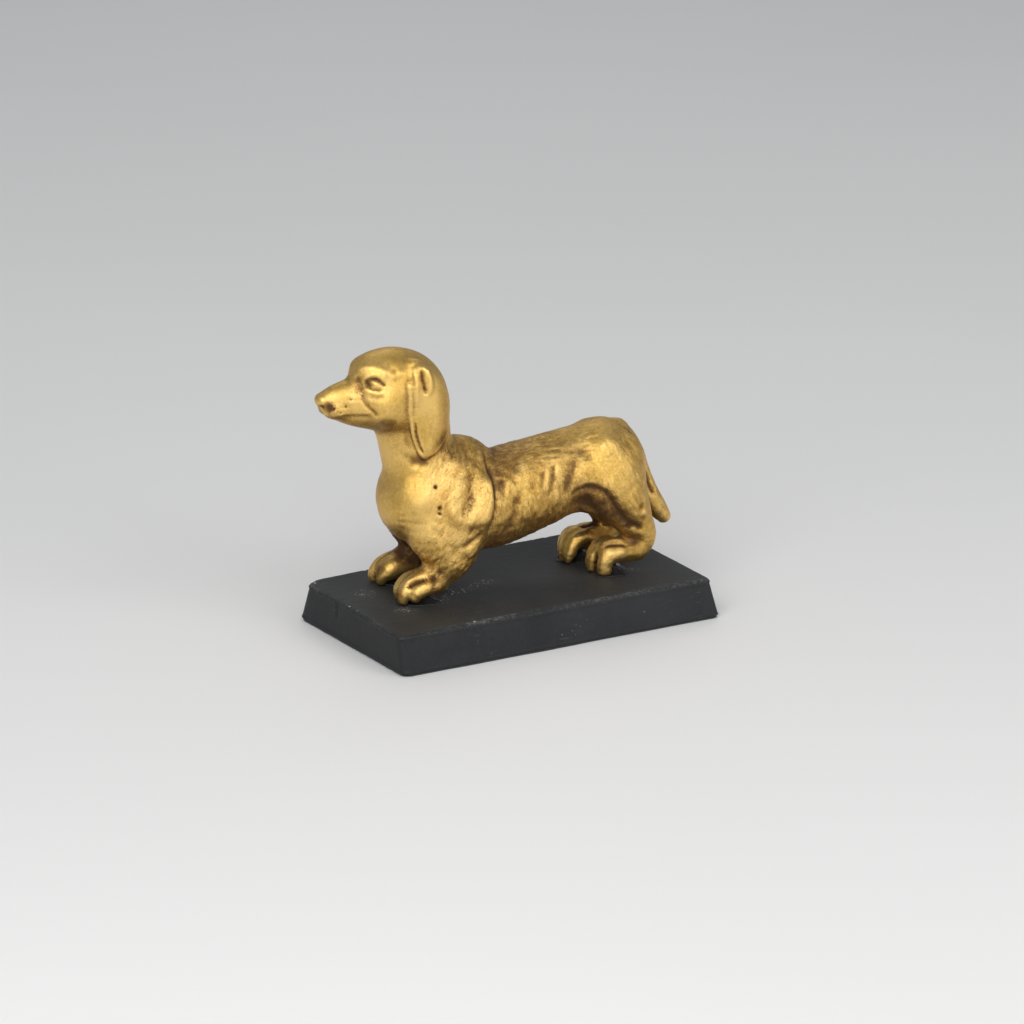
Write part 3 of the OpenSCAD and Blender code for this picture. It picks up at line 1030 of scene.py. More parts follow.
@dataclass(frozen=True)
class Slab:
    """How far the cast slab is from square, in millimetres, with what stands on and under it.

    Attributes:
        low: Its lowest corner.
        high: Its highest corner.
        stretch: How much further forward the foot of its front end reaches at its right corner.
        upright: How much further forward the top of its front end reaches at its left corner.
    """

    low: Array
    high: Array
    stretch: float = 3.0
    upright: float = 3.6

    def skewed(self, points: Array) -> Array:
        """Moves points near the front end forward.

        All of it moves by stretch times the way across, and its top by upright as well, but by half as much
        at the far corner. Both fade out over a fifth of the length.

        Args:
            points: Points on the square slab.

        Returns:
            The moved points.
        """
        half, middle = (self.high - self.low) / 2, (self.high + self.low) / 2
        near = ease(middle[0] - points[:, 0], half[0] * 0.6, half[0] * 0.97)
        across = np.clip((points[:, 1] - self.low[1]) / (2 * half[1]), 0.0, 1.0)
        rise = np.clip((points[:, 2] - self.low[2]) / (2 * half[2]), 0.0, 1.0)
        shift = self.stretch * across + self.upright * (1.0 - 0.5 * across) * rise
        return points - np.outer(near * shift, (1.0, 0.0, 0.0))


@dataclass
class Plinth:
    """The drafted slab: a side profile carried round a rounded rectangle, in millimetres."""

    slab: Slab
    draft: float = 3.2
    edge: float = 2.1
    foot_edge: float = 0.5
    foot_corners: tuple[float, float, float, float] = (3.5, 6.0, 3.4, 2.2)
    top_corners: tuple[float, float, float, float] = (3.0, 9.0, 2.6, 2.4)
    around: int = 560
    face_rings: int = 44
    scuffs: tuple[tuple[float, float, float], ...] = (
        (-42, -11, 5), (-35, -7, 4), (-28, -3, 5), (-20, -2, 4), (-12, 1, 4.5), (-62, 12, 5), (-58, -14, 5),
        (48, -15, 4), (40, 4, 5),
    )
    chip_scale: float = 2.2
    chip_depth: float = 1.0
    wave_height: float = 0.16
    pit_height: float = 0.045
    worn_down: float = 0.2
    slump_depth: float = 0.9
    slump_left: float = 16.0
    slump_right: float = 20.0
    notch_depth: float = 0.7
    notch_width: float = 1.0
    notch_place: float = 0.25

    def _profile(self) -> tuple[Array, Array, Array, Array]:
        """The section from the middle of the foot to the middle of the top.

        Returns:
            How far in from the outline each ring lies, its height, its scale about the middle, and how
            near it is to the top edge, from 0 to 1.
        """
        height = self.slab.high[2] - self.slab.low[2]
        arc = np.linspace(0.0, math.pi / 2, 9)
        foot_in = self.foot_edge * (1 - np.sin(arc))
        foot_z = self.foot_edge * (1 - np.cos(arc))
        side_z = np.linspace(self.foot_edge, height - self.edge, 20)[1:-1]
        rise = (side_z - self.foot_edge) / (height - self.foot_edge)
        edge_in = self.draft + self.edge * (1 - np.cos(arc)) - self.edge * 0.35 * (1 - arc / arc[-1])
        edge_z = height - self.edge * (1 - np.sin(arc))
        inset = np.concatenate([foot_in, side_z * 0 + self.draft * rise, edge_in])
        level = np.concatenate([foot_z, side_z, edge_z])
        near = np.concatenate([arc * 0, ease(rise, 0.75, 1.0) * 0.3, 0.3 + 0.7 * np.sin(arc * 2) ** 0.5])
        shrink = np.linspace(1.0, 0.0, self.face_rings)[1:-1]
        inset = np.concatenate([shrink[::-1] * 0 + foot_in[0], inset, shrink * 0 + edge_in[-1]])
        level = np.concatenate([shrink * 0, level, shrink * 0 + height])
        scale = np.concatenate([shrink[::-1], foot_z * 0 + 1, side_z * 0 + 1, edge_z * 0 + 1, shrink])
        near = np.concatenate([shrink * 0, near, ease(shrink, 0.93, 1.0) * 0.6])
        return inset, level, scale, near

    def model(self) -> Skin:
        """Carries the profile round, then dents, chips and wears it."""
        inset, level, scale, near = self._profile()
        low, high = self.slab.low, self.slab.high
        half = (high - low) / 2
        sections = zip(inset, level, scale)
        skin = carried(low, high, sections, self.foot_corners, self.top_corners, self.around)
        skin.points = self.slab.skewed(skin.points)
        p = skin.points
        edge = np.append(np.repeat(near, self.around), [0.0, 0.0])
        top = ease(p[:, 2], high[2] - 1.0, high[2] - 0.2)
        rise = (p[:, 2] - low[2]) / (high[2] - low[2])
        waves = layered_noise(p, 26.0, 2, 5)
        pits = layered_noise(p, 3.0, 2, 6)
        chips = np.maximum(value_noise(p / self.chip_scale, 7) - 0.5, 0.0) * edge
        ahead = (p[:, 0] - low[0]) ** 2
        slump = np.exp(-(ahead + (p[:, 1] - low[1]) ** 2) / self.slump_left**2)
        slump += 0.8 * np.exp(-(ahead + (p[:, 1] - high[1]) ** 2) / self.slump_right**2)
        notch = np.exp(-(((p[:, 1] - half[1] * self.notch_place) / self.notch_width) ** 2))
        notch *= ease(-p[:, 0], half[0] - 2.5, half[0] - 1.0) * ease(rise, 0.4, 0.7)
        inner = ease(p[:, 2], low[2] + 0.2, low[2] + 1.5)
        worn = self.wave_height * waves + self.pit_height * pits - self.worn_down
        sunk = self.chip_depth * chips + self.slump_depth * slump * top + self.notch_depth * notch
        skin.pushed(worn * inner - sunk)
        scuffed = sum(np.exp(-((p[:, 0] - x) ** 2 + (p[:, 1] - y) ** 2) / r**2) for x, y, r in self.scuffs)
        skin.marks["edge"] = np.clip(edge, 0.0, 1.0)
        skin.marks["top"] = top
        skin.marks["chips"] = np.clip(chips * 3.0, 0.0, 1.0)
        skin.marks["scuffed"] = np.clip(scuffed * top, 0.0, 1.0)
        skin.marks["recess"] = np.clip(skin.recess(4) * 3.0 + notch * 0.5, -1.0, 1.0)
        return skin


@dataclass
class FootPad:
    """The thin pad under the slab, with a soft, slightly uneven edge."""

    slab: Slab
    low: Array
    high: Array
    corners: tuple[float, float, float, float] = (3.6, 6.0, 3.4, 2.4)
    edge: float = 0.45
    face_insets: tuple[float, float] = (8.0, 2.0)
    wander_size: float = 14.0
    wander_width: float = 0.25
    around: int = 480

    def model(self) -> Skin:
        """Carries a half-round edge round the outline, with a slow wander of its width."""
        thick = self.high[2] - self.low[2]
        arc = np.linspace(-math.pi / 2, math.pi / 2, 9)
        inset = np.concatenate([self.face_insets, self.edge * (1 - np.cos(arc)), self.face_insets[::-1]])
        level = np.concatenate([[0.0, 0.0], thick / 2 * (1 + np.sin(arc)), [thick, thick]])
        sections = zip(inset, level, np.ones(len(inset)))
        skin = carried(self.low, self.high, sections, self.corners, self.corners, self.around)
        half, middle = (self.high - self.low) / 2, (self.high + self.low) / 2
        outward = skin.points[:, :2] - middle[:2]
        outward /= np.linalg.norm(outward, axis=1, keepdims=True) + 1e-9
        rim = ease(np.abs(skin.points[:, 0] - middle[0]) / half[0], 0.9, 0.99)
        rim = np.maximum(rim, ease(np.abs(skin.points[:, 1] - middle[1]) / half[1], 0.85, 0.98))
        wander = layered_noise(skin.points * (1, 1, 0), self.wander_size, 3, 21) * self.wander_width
        wander -= self.wander_width
        skin.points[:, :2] += outward * (wander * rim)[:, None]
        skin.points = self.slab.skewed(skin.points)
        return skin


@dataclass
class Bond:
    """A bead of adhesive round a paw: a low uneven dome, in the dog's frame."""

    x: float
    y: float
    placing: Placing
    seed: int
    ahead: float = 9.8
    behind: float = 6.0
    side: float = 7.2
    height: float = 0.7
    mound: float = 3.0
    mound_size: float = 0.42
    under: float = -0.1
    around: int = 120
    rings: int = 22

    def model(self) -> Skin:
        """Carries a dome's section, mounded round the pin, round an oval whose radius wanders with noise."""
        turns = np.linspace(0.0, 2 * math.pi, self.around, endpoint=False)
        ring = np.stack([np.cos(turns), np.sin(turns)], axis=1)
        spread = np.where(ring[:, 0] < 0, self.ahead, self.behind)
        round_it = np.column_stack([ring * 1.6, np.full_like(turns, self.seed)])
        noise = layered_noise(round_it, 1.0, 3, self.seed)
        reach = 1.0 + 0.2 * noise
        share = np.linspace(0.02, 1.0, self.rings)
        section = np.sqrt(np.clip(1 - share**3, 0.0, 1.0))
        rings = []
        shares, levels = [*share, 1.0, 0.6, 0.02], [*section, *[self.under] * 3]
        for part, level in zip(shares, levels):
            x = self.x + ring[:, 0] * spread * reach * part
            y = self.y + ring[:, 1] * self.side * reach * part
            place = np.column_stack([x, y, np.full_like(x, self.seed)])
            lumps = 0.75 + 0.35 * layered_noise(place, 4.0, 2, self.seed + 3)
            mound = self.mound * math.exp(-((part / self.mound_size) ** 2))
            rise = max(level, 0.0) * self.height * lumps + mound
            rings.append(np.column_stack([x, y, rise if level > 0 else np.full_like(x, level)]))
        skin = lofted(np.array(rings))
        skin.points = self.placing.to_row(skin.points)
        return skin


# ---------------------------------------------------------------- finishes


class Sheet:
    """A node tree being written: each method adds one node and gives back its output."""

    def __init__(self, tree: bpy.types.NodeTree) -> None:
        """Writes on this tree."""
        self.tree = tree

    def node(self, kind: str, fed: dict[str | int, Link], **settings: object) -> bpy.types.Node:
        """Adds a node of a kind, with what its inputs are fed and with its settings."""
        made = self.tree.nodes.new(kind)
        for name, value in settings.items():
            setattr(made, name, value)
        self.feed(made, fed)
        return made

    def feed(self, node: bpy.types.Node, fed: dict[str | int, Link]) -> None:
        """Links a node's inputs to outputs, or sets them to numbers or colours."""
        for name, value in fed.items():
            socket = node.inputs[name]
            if isinstance(value, Socket):
                self.tree.links.new(value, socket)
            elif isinstance(value, tuple) and socket.type == "RGBA":
                socket.default_value = (*value, 1.0)
            else:
                socket.default_value = value

    def place(self) -> Socket:
        """The place on the object, in metres."""
        return self.node("ShaderNodeTexCoord", {}).outputs["Object"]

    def mark(self, name: str) -> Socket:
        """A number kept at each point of the mesh."""
        return self.node("ShaderNodeAttribute", {}, attribute_name=name).outputs["Fac"]

    def math(self, operation: str, *values: Link, clamp: bool = False) -> Socket:
        """One sum on two or three numbers."""
        fed = dict(enumerate(values))
        return self.node("ShaderNodeMath", fed, operation=operation, use_clamp=clamp).outputs[0]

    def times(self, a: Link, b: Link, plus: Link = 0.0, clamp: bool = False) -> Socket:
        """One number times another, plus a third."""
        return self.math("MULTIPLY_ADD", a, b, plus, clamp=clamp)

    def less(self, a: Link, b: Link) -> Socket:
        """One number less another."""
        return self.math("SUBTRACT", a, b)

    def span(
        self, value: Link, low: float, high: float, to_low: float = 0.0, to_high: float = 1.0
    ) -> Socket:
        """Maps low..high smoothly to to_low..to_high, and holds it there beyond them."""
        fed = {"Value": value, "From Min": low, "From Max": high, "To Min": to_low, "To Max": to_high}
        return self.node("ShaderNodeMapRange", fed, interpolation_type="SMOOTHSTEP").outputs["Result"]

    def mix(self, share: Link, a: Link, b: Link) -> Socket:
        """Mixes two colours."""
        return self.node("ShaderNodeMix", {0: share, 6: a, 7: b}, data_type="RGBA").outputs[2]

    def stretch(self, place: Link, scale: Point, turn: Point = (0.0, 0.0, 0.0)) -> Socket:
        """Turns and scales a place."""
        fed = {"Vector": place, "Scale": scale, "Rotation": turn}
        return self.node("ShaderNodeMapping", fed).outputs[0]

    def noise(
        self, place: Link, scale: Link, detail: float = 3.0, rough: float = 0.55, bend: float = 0.0
    ) -> Socket:
        """Noise from 0 to 1, with scale features to the metre."""
        fed = {"Vector": place, "Scale": scale, "Detail": detail, "Roughness": rough, "Distortion": bend}
        return self.node("ShaderNodeTexNoise", fed).outputs["Fac"]

    def bump(self, height: Link, strength: float, depth: float) -> Socket:
        """A normal bumped by a height, depth millimetres for each unit."""
        fed = {"Height": height, "Strength": strength, "Distance": depth * MM}
        return self.node("ShaderNodeBump", fed).outputs["Normal"]


class Effects:
    """The node groups that the finishes share, each built once."""

    def __init__(self) -> None:
        """Builds the groups."""
        self.tone = self._tone()
        self.grain = self._grain()

    @staticmethod
    def _group(name: str, output: str, **inputs: float) -> tuple[Sheet, dict[str, Socket], bpy.types.Node]:
        """Starts a node group of numbers.

        Args:
            name: The group's name.
            output: Its output's name.
            **inputs: Its inputs' names and first values.

        Returns:
            The group's sheet, what comes in by name, and the node that its output goes to.
        """
        tree = bpy.data.node_groups.new(name, "ShaderNodeTree")
        for title, value in inputs.items():
            socket = tree.interface.new_socket(title, in_out="INPUT", socket_type="NodeSocketFloat")
            socket.default_value = value
        tree.interface.new_socket(output, in_out="OUTPUT", socket_type="NodeSocketFloat")
        sheet = Sheet(tree)
        return sheet, sheet.node("NodeGroupInput", {}).outputs, sheet.node("NodeGroupOutput", {})

    def _tone(self) -> bpy.types.NodeTree:
        """Uneven tone: broad patches and small mottling, from 0 to 1."""
        sheet, given, out = self._group("uneven_tone", "Tone", Patches=60.0, Mottling=700.0, Share=0.4)
        place = sheet.place()
        broad = sheet.noise(place, given["Patches"], 3.0, 0.5, 0.4)
        small = sheet.noise(place, given["Mottling"], 4.0, 0.6)
        sheet.feed(out, {"Tone": sheet.times(sheet.less(small, broad), given["Share"], plus=broad)})
        return sheet.tree

    def _grain(self) -> bpy.types.NodeTree:
        """Fine surface grain as a height: small noise with a finer one on it."""
        sheet, given, out = self._group("fine_grain", "Height", Grain=2500.0)
        place = sheet.place()
        coarse = sheet.noise(place, given["Grain"], 3.0, 0.6)
        fine = sheet.noise(place, sheet.times(given["Grain"], 3.1), 2.0, 0.5)
        sheet.feed(out, {"Height": sheet.times(fine, 0.35, plus=coarse)})
        return sheet.tree

    @staticmethod
    def use(sheet: Sheet, tree: bpy.types.NodeTree, **values: float) -> Socket:
        """Places a group in a material with its own values, and gives back its output."""
        return sheet.node("ShaderNodeGroup", values, node_tree=tree).outputs[0]


def new_material(name: str) -> tuple[Material, Sheet, bpy.types.Node]:
    """Starts a material with a Principled shader, and gives back its sheet and shader."""
    material = bpy.data.materials.new(name)
    material.use_nodes = True
    sheet = Sheet(material.node_tree)
    return material, sheet, material.node_tree.nodes["Principled BSDF"]


@dataclass(frozen=True)
class Gilding:
    """Worn gilding: pale where its tone runs light and, as a painted highlight, on ridges and raised hair;
    ochre between; brown patina in the recesses; painted shade on undersides, upward faces and under the body.
    """

    pale: Colour = (0.84, 0.56, 0.18)
    mid: Colour = (0.62, 0.38, 0.085)
    ochre: Colour = (0.42, 0.22, 0.042)
    brown: Colour = (0.20, 0.09, 0.018)
    patina: Colour = (0.075, 0.034, 0.010)
    bole: Colour = (0.36, 0.13, 0.05)
    roughness: float = 0.43
    least_relief: float = -0.1

    def _strands(self, sheet: Sheet) -> Socket:
        """Fine hair strokes: noise stretched along each lie, mixed by the shares of the lies."""
        total: Link = 0.0
        for lie in Lie:
            ahead, up = lie.value
            turned = sheet.stretch(sheet.place(), (1.0, 1.0, 1.0), (0.0, math.atan2(up, ahead), 0.0))
            strands = sheet.noise(sheet.stretch(turned, (0.42, 1.0, 1.0)), 900.0, 4.0, 0.66, 0.6)
            total = sheet.times(strands, sheet.mark(f"lie_{lie.name.lower()}"), plus=total)
        return total

    def material(self, effects: Effects) -> Material:
        """Mixes the colours by recess, coat, stain, tone and painted shade and highlight, and bumps them with
        hair and grain.
        """
        material, sheet, shader = new_material("worn_gilding")
        names = ("recess", "hollow", "furred", "stain_and_shade", "under", "upper")
        recess, hollow, furred, stain_and_shade, under, upper = (sheet.mark(n) for n in names)
        strands = self._strands(sheet)
        coat = sheet.span(furred, 0.08, 0.62)
        tone = effects.use(sheet, effects.tone, Patches=48.0, Mottling=900.0, Share=0.35)
        base = sheet.mix(sheet.span(tone, 0.35, 0.62), self.mid, self.pale)
        broad = sheet.noise(sheet.place(), 75.0, 3.0, 0.6, 0.5)
        base = sheet.mix(sheet.times(coat, sheet.span(broad, 0.38, 0.66, 0.0, 0.6)), base, self.ochre)
        # Painted highlight: raised hair strokes and ridges are mixed towards the pale gold.
        raised = sheet.times(sheet.less(strands, 0.5), 1.6, plus=sheet.times(recess, -1.0))
        base = sheet.mix(sheet.times(sheet.span(raised, 0.05, 0.5), 0.85), base, self.pale)
        speckle = sheet.noise(sheet.place(), 1300.0, 3.0, 0.65)
        red = sheet.times(sheet.span(speckle, 0.54, 0.66), sheet.times(coat, 0.5))
        base = sheet.mix(red, base, self.bole)
        worn = sheet.span(sheet.noise(sheet.place(), 260.0, 3.0, 0.6), 0.3, 0.65, 0.6, 1.25)
        # Patina and painted shade: stains, recesses, hollows, speckles and the grooves between strokes are
        # patina; under, upper and the dark spots under the body are painted shade.
        patina_and_shade_amount = sheet.times(stain_and_shade, worn)
        for amount, weight in (
            (sheet.math("MAXIMUM", recess, self.least_relief), 0.85),
            (sheet.math("MAXIMUM", hollow, self.least_relief), 0.55),
            (under, 0.65),
            (upper, 0.28),
            (sheet.less(broad, 0.55), 0.45),
            (sheet.less(0.5, strands), sheet.times(coat, 0.9, plus=0.35)),
            (sheet.less(speckle, 0.5), 0.8),
        ):
            patina_and_shade_amount = sheet.times(amount, weight, plus=patina_and_shade_amount)
        base = sheet.mix(sheet.times(sheet.span(patina_and_shade_amount, 0.0, 1.0), 0.88), base, self.brown)
        # The darkest patina colour takes both the deepest patina and the deepest painted shade.
        deep = sheet.span(patina_and_shade_amount, 0.65, 1.6)
        rough = sheet.times(tone, 0.16, plus=self.roughness - 0.08)
        hair = sheet.times(strands, sheet.times(coat, 1.0, plus=0.18))
        grain = effects.use(sheet, effects.grain, Grain=1900.0)
        sheet.feed(shader, {
            "Base Color": sheet.mix(sheet.times(deep, 0.92), base, self.patina),
            "Metallic": sheet.span(patina_and_shade_amount, 0.3, 1.2, 1.0, 0.5),
            "Roughness": sheet.times(deep, 0.3, plus=rough, clamp=True),
            "Normal": sheet.bump(sheet.times(grain, 0.22, plus=hair), 0.8, 0.5),
        })
        return material


@dataclass(frozen=True)
class BlackPaint:
    """Matt charcoal paint, greyed by handling, with pale chips and scuffs."""

    dark: Colour = (0.008, 0.0085, 0.0095)
    grey: Colour = (0.020, 0.0205, 0.022)
    top_face_grey: Colour = (0.036, 0.037, 0.037)
    dust: Colour = (0.11, 0.108, 0.10)
    chip: Colour = (0.40, 0.395, 0.37)
    roughness: float = 0.62

    def material(self, effects: Effects) -> Material:
        """Mixes paint, dust and chips by the edge and scuff marks, by noise, and by long scratches, and makes
        the top face a lighter grey.
        """
        material, sheet, shader = new_material("black_paint")
        names = ("edge", "chips", "recess", "scuffed", "top")
        edge, chips, recess, scuffed, top = (sheet.mark(n) for n in names)
        place = sheet.place()
        tone = effects.use(sheet, effects.tone, Patches=30.0, Mottling=500.0, Share=0.3)
        base = sheet.mix(sheet.span(tone, 0.3, 0.7), self.dark, self.grey)
        # The top face is a lighter grey than the sides.
        base = sheet.mix(sheet.times(top, sheet.span(tone, 0.25, 0.7, 0.35, 0.8)), base, self.top_face_grey)
        fine = sheet.noise(place, 900.0, 4.0, 0.65)
        where = sheet.noise(place, 42.0, 3.0, 0.55)
        rub = sheet.times(sheet.span(fine, 0.45, 0.7), sheet.times(edge, 0.3))
        line = sheet.times(sheet.span(edge, 0.78, 0.98), sheet.span(where, 0.46, 0.62, 0.0, 0.55))
        base = sheet.mix(sheet.times(line, sheet.span(fine, 0.4, 0.6), plus=rub), base, self.dust)
        streak = sheet.noise(sheet.stretch(place, (0.16, 1.0, 1.0), (0.0, 0.0, 0.22)), 900.0, 3.0, 0.5)
        scratch = sheet.times(sheet.span(streak, 0.6, 0.74), sheet.span(where, 0.5, 0.62))
        scuff = sheet.times(scuffed, sheet.span(fine, 0.4, 0.75), plus=sheet.times(scratch, 0.4))
        base = sheet.mix(sheet.times(scuff, 0.7, clamp=True), base, self.dust)
        specks = sheet.noise(place, 1000.0, 2.0, 0.5)
        group = sheet.noise(place, 75.0, 3.0, 0.6)
        need = sheet.times(line, -0.06, plus=sheet.times(scuffed, -0.12, plus=0.75))
        grouped = sheet.span(sheet.math("ADD", group, scuffed), 0.52, 0.6)
        spot = sheet.times(sheet.span(sheet.less(specks, need), 0.0, 0.02), grouped)
        base = sheet.mix(spot, base, self.chip)
        broken = sheet.times(sheet.span(chips, 0.7, 0.95), sheet.span(group, 0.52, 0.58))
        rough = sheet.times(tone, 0.2, plus=self.roughness - 0.1)
        sheet.feed(shader, {
            "Base Color": sheet.mix(broken, base, self.chip),
            "Roughness": sheet.times(recess, 0.1, plus=rough, clamp=True),
            "Specular IOR Level": 0.35,
            "Normal": sheet.bump(effects.use(sheet, effects.grain, Grain=1500.0), 0.45, 0.10),
        })
        return material


@dataclass(frozen=True)
class PadFelt:
    """Black felt: short fibres, matt, a little dusty."""

    dark: Colour = (0.012, 0.012, 0.013)
    light: Colour = (0.05, 0.048, 0.045)

    def material(self, effects: Effects) -> Material:
        """Fibres as fine stretched noise over an uneven tone."""
        material, sheet, shader = new_material("pad_felt")
        tone = effects.use(sheet, effects.tone, Patches=80.0, Mottling=2200.0, Share=0.7)
        combed = sheet.stretch(sheet.place(), (1.0, 0.2, 1.0), (0.0, 0.0, 0.6))
        fibres = sheet.noise(combed, 5200.0, 3.0, 0.6)
        sheet.feed(shader, {
            "Base Color": sheet.mix(sheet.times(tone, fibres), self.dark, self.light),
            "Roughness": sheet.span(fibres, 0.3, 0.7, 0.85, 0.98),
            "Sheen Weight": 0.2,
            "Normal": sheet.bump(fibres, 0.8, 0.15),
        })
        return material


@dataclass(frozen=True)
class DrawnSteel:
    """Drawn steel wire: fine lines along the pin."""

    light: Colour = (0.62, 0.62, 0.63)
    dark: Colour = (0.36, 0.36, 0.38)

    def material(self, effects: Effects) -> Material:
        """Lines drawn out along z, over an uneven tone."""
        material, sheet, shader = new_material("drawn_steel")
        lines = sheet.noise(sheet.stretch(sheet.place(), (1.0, 1.0, 0.04)), 6000.0, 2.0, 0.5)
        tone = effects.use(sheet, effects.tone, Patches=300.0, Mottling=3000.0, Share=0.4)
        sheet.feed(shader, {
            "Base Color": sheet.mix(sheet.times(lines, tone), self.light, self.dark),
            "Metallic": 1.0,
            "Roughness": sheet.span(lines, 0.3, 0.7, 0.25, 0.45),
            "Normal": sheet.bump(lines, 0.3, 0.02),
        })
        return material


@dataclass(frozen=True)
class Adhesive:
    """Black epoxy: glossy, with dust in its low places."""

    dark: Colour = (0.010, 0.010, 0.011)
    dusty: Colour = (0.06, 0.058, 0.055)

    def material(self, effects: Effects) -> Material:
        """A glossy black whose gloss breaks up where dust has settled."""
        material, sheet, shader = new_material("black_adhesive")
        tone = effects.use(sheet, effects.tone, Patches=240.0, Mottling=1600.0, Share=0.5)
        dust = sheet.span(tone, 0.52, 0.68)
        sheet.feed(shader, {
            "Base Color": sheet.mix(dust, self.dark, self.dusty),
            "Roughness": sheet.span(dust, 0.0, 1.0, 0.45, 0.75),
            "Normal": sheet.bump(effects.use(sheet, effects.grain, Grain=900.0), 0.35, 0.12),
        })
        return material


# ---------------------------------------------------------------- the studio


@dataclass(frozen=True)
class Lamp:
    """A square soft lamp that points at the object.

    Attributes:
        name: Its name.
        azimuth: Where it stands round the object, in degrees. 0 looks along +Y.
        elevation: How high it stands, in degrees.
        distance: How far away it is.
        size: Length of its side.
        power: Its power in watts.
    """

    name: str
    azimuth: float
    elevation: float
    distance: float
    size: float
    power: float


@dataclass
class Studio:
    """A pale floor, soft lamps and the camera, in metres and degrees."""

    azimuth: float = -29.763
    elevation: float = 18.034
    distance: float = 2.0802
    aside: float = 0.0002
    above: float = 0.0438
    focal_length: float = 175.78
    sensor_width: float = 36.0
    nearest: float = 0.05
    aim_height: float = 0.05
    floor_size: float = 14.0
    floor_roughness: float = 0.7
    floor_dark: Colour = (0.85, 0.84, 0.82)
    floor_pale: Colour = (0.89, 0.88, 0.86)
    sky: Colour = (0.92, 0.95, 1.0)
    sky_strength: float = 0.36
    lamps: tuple[Lamp, ...] = (
        Lamp("key", -44.0, 36.0, 1.5, 1.25, 14.5),
        Lamp("fill", 22.0, 26.0, 1.7, 1.1, 8.5),
        Lamp("back", 155.0, 50.0, 1.8, 0.9, 2.5),
    )

    @staticmethod
    def _direction(azimuth: float, elevation: float) -> Vector:
        """The unit vector from the object to something at an azimuth and an elevation."""
        a, e = math.radians(azimuth), math.radians(elevation)
        return Vector((math.sin(a) * math.cos(e), -math.cos(a) * math.cos(e), math.sin(e)))

    @staticmethod
    def _stand(made: bpy.types.Object, place: Vector, back: Vector) -> None:
        """Stands an object at a place, looking away from the direction back."""
        made.location = place
        made.rotation_mode = "QUATERNION"
        made.rotation_quaternion = back.to_track_quat("Z", "Y")

    def camera(self) -> None:
        """Makes the camera and looks through it."""
        back = self._direction(self.azimuth, self.elevation)
        a = math.radians(self.azimuth)
        right = Vector((math.cos(a), math.sin(a), 0.0))
        made = shown("camera", bpy.data.cameras.new("camera"))
        made.data.lens = self.focal_length
        made.data.sensor_width = self.sensor_width
        made.data.clip_start = self.nearest
        self._stand(made, back * self.distance + right * self.aside + back.cross(right) * self.above, back)
        bpy.context.scene.camera = made

    def light(self, lamp: Lamp) -> None:
        """Makes a lamp."""
        made = shown(lamp.name, bpy.data.lights.new(lamp.name, "AREA"))
        made.data.size, made.data.energy = lamp.size, lamp.power
        away = self._direction(lamp.azimuth, lamp.elevation)
        self._stand(made, away * lamp.distance + Vector((0.0, 0.0, self.aim_height)), away)

    def floor(self) -> None:
        """A pale floor just under the object, with a faint unevenness of tone."""
        material, sheet, shader = new_material("pale_floor")
        cloud = sheet.noise(sheet.place(), 3.0, 2.0, 0.5)
        colour = sheet.mix(cloud, self.floor_dark, self.floor_pale)
        sheet.feed(shader, {"Base Color": colour, "Roughness": self.floor_roughness})
        half = self.floor_size / 2
        mesh = bpy.data.meshes.new("floor")
        edge = [(-half, -half, 0), (half, -half, 0), (half, half, 0), (-half, half, 0)]
        mesh.from_pydata(edge, [], [(0, 1, 2, 3)])
        mesh.materials.append(material)
        made = shown("floor", mesh)
        made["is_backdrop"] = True

    def world(self) -> None:
        """An even surrounding light."""
        made = bpy.data.worlds.new("studio")
        made.use_nodes = True
        background = made.node_tree.nodes["Background"]
        background.inputs["Color"].default_value = (*self.sky, 1.0)
        background.inputs["Strength"].default_value = self.sky_strength
        bpy.context.scene.world = made

    def build(self) -> None:
        """Sets up the whole studio."""
        bpy.context.scene.view_settings.view_transform = "Standard"
        self.camera()
        self.floor()
        self.world()
        for lamp in self.lamps:
            self.light(lamp)


# ---------------------------------------------------------------- the whole figurine


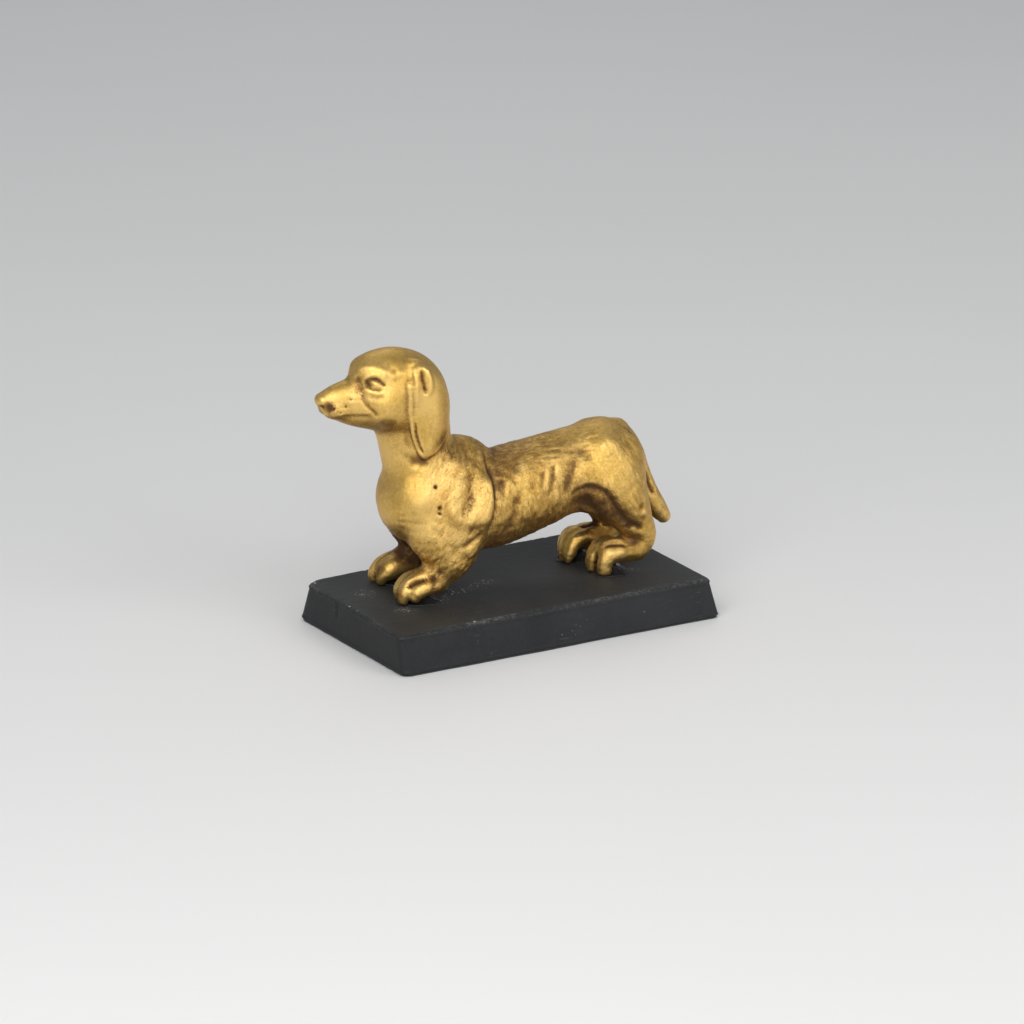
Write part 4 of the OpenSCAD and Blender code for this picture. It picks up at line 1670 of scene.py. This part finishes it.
@dataclass
class Figurine:
    """The assembly: builds every piece in the places that the frame gives."""

    frame: dict
    effects: Effects = field(default_factory=Effects)

    @staticmethod
    def _box(node: str) -> tuple[Array, Array]:
        """A CAD node's lowest and highest corners, in millimetres."""
        low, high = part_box(node)
        return np.array(low) / MM, np.array(high) / MM

    def dog(self, placing: Placing) -> None:
        """The cast dog."""
        material = Gilding().material(self.effects)
        Dog(placing).model().piece("gilded_dog", Slot.GILDING, material, "dog_figure")

    def plinth(self) -> None:
        """The painted slab and the pad under it."""
        slab = Slab(*self._box("plinth"))
        paint, felt = BlackPaint().material(self.effects), PadFelt().material(self.effects)
        Plinth(slab).model().piece("painted_plinth", Slot.BLACK_PAINT, paint, "plinth")
        pad = FootPad(slab, *self._box("foot_pad"))
        pad.model().piece("felt_pad", Slot.PAD, felt, "foot_pad")

    def bonds(self, placing: Placing) -> None:
        """The four beads of adhesive, each where its paw stands."""
        material = Adhesive().material(self.effects)
        dog = Dog(placing)
        paws = {
            "front_left": (-36.0, dog.fore_left), "front_right": (-36.0, dog.fore_right),
            "hind_left": (51.5 - dog.hind_left_step, dog.hind_left),
            "hind_right": (51.5 - dog.hind_right_step, dog.hind_right),
        }
        for seed, (name, (x, y)) in enumerate(paws.items(), start=3):
            bond = Bond(x, y, placing, seed)
            bond.model().piece(f"adhesive_{name}", Slot.ADHESIVE, material, f"bond_{name}")

    def pins(self) -> None:
        """Dresses the four CAD pins."""
        material = DrawnSteel().material(self.effects)
        for name, node in self.frame["nodes"].items():
            if name.startswith("pin_"):
                node.data.materials.clear()
                node.data.materials.append(material)
                LOG.info("%s: dressed in steel", name)

    def build(self) -> None:
        """Builds and dresses every piece."""
        placing = Placing(top=self._box("plinth")[1][2])
        self.plinth()
        self.bonds(placing)
        self.pins()
        self.dog(placing)


def corners(bounds: tuple[Vector, Vector]) -> list[list[float]]:
    """A box's two corners as plain lists of numbers."""
    return [[float(x) for x in corner] for corner in bounds]


def main() -> None:
    """Loads the frame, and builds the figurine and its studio."""
    logging.basicConfig(level=logging.INFO, format="%(name)s: %(message)s")
    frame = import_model()
    cad_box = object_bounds()
    Studio().build()
    Figurine(frame).build()
    sizes = {"cad": corners(cad_box), "visual": corners(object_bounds())}


if __name__ == "__main__":
    main()
